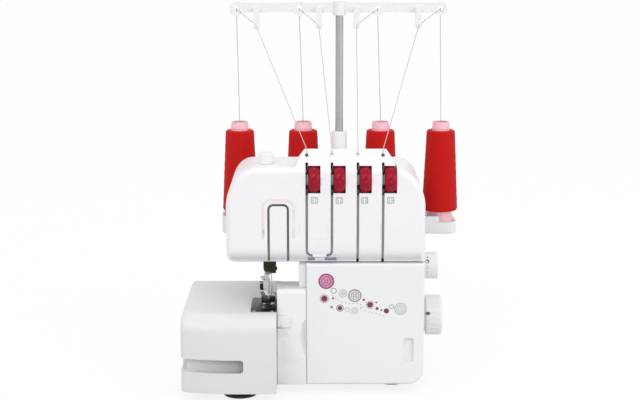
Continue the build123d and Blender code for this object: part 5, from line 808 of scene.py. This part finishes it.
CAP_SCREW = [(2.3, 0), (2.3, 1.1), (1.95, 1.5), (1.1, 1.5), (1.1, 0.6), (0, 0.6)]
LOW_SCREW = [(2.2, 0), (2.2, 0.2), (1.9, 0.45), (0.8, 0.45), (0.7, 0.2), (0, 0.2)]
clamp_outline = [
    (-79.7, 162.0), (-79.7, 173.0), (-63.5, 173.0), (-63.5, 156.6),
    (-70.2, 156.6), (-72.0, 158.6), (-77.6, 158.6),
]
clamp = slab("clamp_body", clamp_outline, -78.5, -65.5, blackened, "needle_drive", bevel=0.7)
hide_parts("needle_clamp")
for number, screw_x in enumerate((-75.4, -68.0), start=1):
    turned(f"needle_screw_{number}", CAP_SCREW, (screw_x, -78.4, 165.4), "-y", blackened, "needle_drive",
           segments=36)
turned("clamp_side_screw", CAP_SCREW, (-63.6, -72.0, 161.5), "x", blackened, "needle_drive", segments=36)
block("clamp_top_plate", (-76.5, -77.8, 171.6), (-66.0, -70.0, 174.4), chrome, "needle_drive", bevel=0.5)
block("needle_thread_guide", (-77.0, -77.6, 154.8), (-70.6, -75.6, 159.4), plate_steel, "needle_drive",
      bevel=0.35)

block("bar_thread_guide", (-84.0, -58.5, 143.0), (-76.6, -54.5, 147.0), steel, "presser", bevel=0.8)
turned("holder_thumb_screw", [(4.5, 0), (4.5, 3.2), (3.8, 4.2), (1.6, 4.2), (1.6, 3.4), (0, 3.4)],
       (-80.8, -58.0, 133.8), "-x", blackened, "presser", segments=48)
slab("foot_release", [(-84.6, 128.6), (-80.4, 130.4), (-75.4, 121.6), (-76.6, 118.2), (-79.0, 118.2)],
     -70.4, -67.8, plate_steel, "presser", bevel=0.6)
foot = block("foot_plate", (-95.6, -98.0, 113.3), (-81.6, -47.0, 114.3), plate_steel, "presser", bevel=0.25)
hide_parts("presser_foot")
# the sole in four parts: in front of, behind, left and right of the opening that the needles pass through
SOLE_PARTS = (
    ((-81.4, -97.0), (-63.2, -74.6)),
    ((-81.4, -69.4), (-63.2, -47.0)),
    ((-81.4, -75.6), (-76.2, -68.4)),
    ((-67.4, -75.6), (-63.2, -68.4)),
)
for number, (low, high) in enumerate(SOLE_PARTS, start=1):
    block(f"foot_sole_{number}", (*low, 113.3), (*high, 115.6), blackened, "presser", bevel=0.3)
block("foot_toe_left", (-80.8, -98.0, 114.0), (-77.0, -86.0, 117.6), plate_steel, "presser", bevel=0.9)
block("foot_toe_right", (-69.0, -98.0, 114.0), (-63.4, -88.0, 117.4), blackened, "presser", bevel=0.9)
block("foot_tongue", (-74.6, -92.0, 115.0), (-71.8, -74.6, 117.0), blackened, "presser", bevel=0.5)
block("foot_spring", (-70.6, -88.0, 117.6), (-65.8, -74.4, 119.0), chrome, "presser", bevel=0.5, shift=0.8)
block("foot_spring_stop", (-71.2, -70.2, 115.0), (-65.4, -63.4, 123.0), blackened, "presser", bevel=0.9)
for number, ear_x in enumerate((-82.8, -72.2), start=1):
    slab(f"foot_ear_{number}", [(ear_x, 115.0), (ear_x + 2, 115.0), (ear_x + 2, 122.6), (ear_x, 122.6)],
         -67.5, -56.5, blackened, "presser", bevel=0.6)
GUIDE_RING_R, GUIDE_WIRE_R = 3.4, 0.8
ring = [
    (GUIDE_RING_R + GUIDE_WIRE_R * cos(radians(a)), GUIDE_WIRE_R * sin(radians(a))) for a in range(0, 360, 30)
]
turned("foot_guide_ring", ring, (-67.6, -67.0, 124.6), "-y", steel, "presser",
       segments=40, closed=True, sharp=60)
turned("foot_screw", [(2.6, 0), (2.6, 1.6), (2.2, 2.0), (0.9, 2.0), (0.9, 1.2), (0, 1.2)],
       (-78.2, -80.0, 115.5), "z", chrome, "presser", segments=36)
for number, screw_x in enumerate((-91.0, -68.0), start=1):
    turned(f"plate_screw_{number}", LOW_SCREW, (screw_x, -102.0, 112.9), "z", chrome, "machine", segments=36)

# ---------------------------------------------------------------- lever, foot pad and bar spring
turned("lever_pin", [(1.7, 0), (1.7, 0.5), (1.3, 0.8), (0, 0.8)], (-57.2, -97.7, 91.9), "-y", lavender_plastic_and_painted_shade,
       "stitch_finger", segments=36)

# the wedge under the lever, which stands out further from the fixed bed towards its top
RAMP_FOOT, RAMP_TOP, RAMP_RISE = 76.0, 88.6, 3.2
ramp = [(-61.6, RAMP_TOP), (-54.0, RAMP_TOP), (-46.4, 79.6), (-46.4, RAMP_FOOT), (-61.6, RAMP_FOOT)]
bm = bmesh.new()
fronts = [
    bm.verts.new((x, FACE_Y - 0.2 - RAMP_RISE * (z - RAMP_FOOT) / (RAMP_TOP - RAMP_FOOT), z)) for x, z in ramp
]
backs = [bm.verts.new((x, FACE_Y, z)) for x, z in ramp]
bm.faces.new(fronts)
bm.faces.new(backs)
for k in range(len(ramp)):
    bm.faces.new((fronts[k], fronts[k - 1], backs[k - 1], backs[k]))
piece("lever_ramp", bm, trim_plastic, "machine")

# the rubber sole of the front left foot, wider than the foot and a little further forward
turned("foot_pad", [(0, 0), (21.6, 0), (22.8, 1.4), (22.8, 4.0), (21.6, 5.6), (0, 5.6)],
       (-110.0, -92.5, 0.0), "z", rubber, "machine", segments=72)

# the presser bar's spring
PRESSER_X, PRESSER_Y = -76.5, -56.0
SPRING_LOW, SPRING_HIGH, SPRING_R, SPRING_WIRE_R = 210.8, 231.2, 4.8, 0.7
SPRING_TURNS, TURN_STEPS = 5, 32
coil = bpy.data.curves.new("bar_spring", "CURVE")
coil.dimensions = "3D"
wire = coil.splines.new("POLY")
wire.points.add(SPRING_TURNS * TURN_STEPS)
for i, point in enumerate(wire.points):
    turn = tau * i / TURN_STEPS
    rise = SPRING_LOW + (SPRING_HIGH - SPRING_LOW) * i / (SPRING_TURNS * TURN_STEPS)
    place = Vector((SPRING_R * cos(turn) + PRESSER_X, SPRING_R * sin(turn) + PRESSER_Y, rise)) * MM
    point.co = (*place, 1)
spring_mesh = wire_mesh(coil, SPRING_WIRE_R, "bar_spring_line")[0]
spring_mesh.materials.clear()
spring_mesh.materials.append(steel)
spring = bpy.data.objects.new("bar_spring", spring_mesh)
scene.collection.objects.link(spring)
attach(spring, "machine")
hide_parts("presser_spring")
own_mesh(spring)

# ---------------------------------------------------------------- screws on the back
BACK_SCREW = [(3.4, 0), (3.4, 0.9), (2.8, 1.5), (0.9, 1.5), (0.8, 0.7), (0, 0.7)]
BACK_SCREW_PLACES = ((-22.0, 30.0), (114.0, 30.0), (-22.0, 150.0), (114.0, 150.0))
for number, (screw_x, screw_z) in enumerate(BACK_SCREW_PLACES, start=1):
    turned(f"back_screw_{number}", BACK_SCREW, (screw_x, 48.9, screw_z), "y", chrome, "machine", segments=36)

# ---------------------------------------------------------------- floor and light
floor_tree = Tree("studio_floor")
path = floor_tree.nodes.new("ShaderNodeLightPath")
direct = floor_tree.math("MAXIMUM", path.outputs["Is Camera Ray"], path.outputs["Is Glossy Ray"])
direct = floor_tree.math("MAXIMUM", direct, path.outputs["Is Transmission Ray"])
floor_tree.set(base_color=floor_tree.mix(direct, (0.62, 0.62, 0.62, 1), (0.95, 0.95, 0.95, 1)), roughness=0.9)
glow = floor_tree.nodes.new("ShaderNodeEmission")
glow.inputs["Color"].default_value = (1, 1, 1, 1)
glow.inputs["Strength"].default_value = 1.0
blend = floor_tree.nodes.new("ShaderNodeMixShader")
floor_tree.put(blend.inputs[0], floor_tree.math("MULTIPLY", direct, 0.86))
floor_tree.links.new(floor_tree.shader.outputs[0], blend.inputs[1])
floor_tree.links.new(glow.outputs[0], blend.inputs[2])
floor_tree.links.new(blend.outputs[0], floor_tree.output.inputs[0])

bpy.ops.mesh.primitive_plane_add(size=60, location=(0, 20, 0))
floor = bpy.context.object
floor.name = "studio_floor"
floor.data.materials.append(floor_tree.material)

world = bpy.data.worlds.new("studio")
scene.world = world
world.use_nodes = True
sky_nodes, sky_links = world.node_tree.nodes, world.node_tree.links
background = sky_nodes["Background"]
background.inputs["Color"].default_value = (1, 1, 1, 1)
sky = sky_nodes.new("ShaderNodeTexCoord")
height = sky_nodes.new("ShaderNodeSeparateXYZ")
sky_links.new(sky.outputs["Generated"], height.inputs[0])
rise = sky_nodes.new("ShaderNodeMapRange")
for socket, value in zip(rise.inputs[1:], (0.0, 0.9, 0.72, 1.06)):
    socket.default_value = value
sky_links.new(height.outputs["Z"], rise.inputs[0])
sky_links.new(rise.outputs[0], background.inputs["Strength"])
white = sky_nodes.new("ShaderNodeBackground")
white.inputs["Color"].default_value = (1, 1, 1, 1)
white.inputs["Strength"].default_value = 1.0
ray = sky_nodes.new("ShaderNodeLightPath")
see = sky_nodes.new("ShaderNodeMath")
see.operation = "MAXIMUM"
sky_links.new(ray.outputs["Is Camera Ray"], see.inputs[0])
sky_links.new(ray.outputs["Is Transmission Ray"], see.inputs[1])
world_mix = sky_nodes.new("ShaderNodeMixShader")
sky_links.new(see.outputs[0], world_mix.inputs[0])
sky_links.new(background.outputs[0], world_mix.inputs[1])
sky_links.new(white.outputs[0], world_mix.inputs[2])
sky_links.new(world_mix.outputs[0], sky_nodes["World Output"].inputs[0])


def softbox(name, place, size, power):
    """A square lamp that faces the middle of the machine."""
    lamp = bpy.data.lights.new(name, "AREA")
    lamp.size = size
    lamp.energy = power
    box = bpy.data.objects.new(name, lamp)
    box.location = place
    box.rotation_euler = (Vector((0, 0, 0.2)) - Vector(place)).to_track_quat("-Z", "Y").to_euler()
    scene.collection.objects.link(box)


softbox("key", (-1.2, -2.1, 1.7), 1.6, 13)
softbox("fill", (1.9, -1.5, 1.1), 1.6, 15)

bpy.context.view_layer.update()
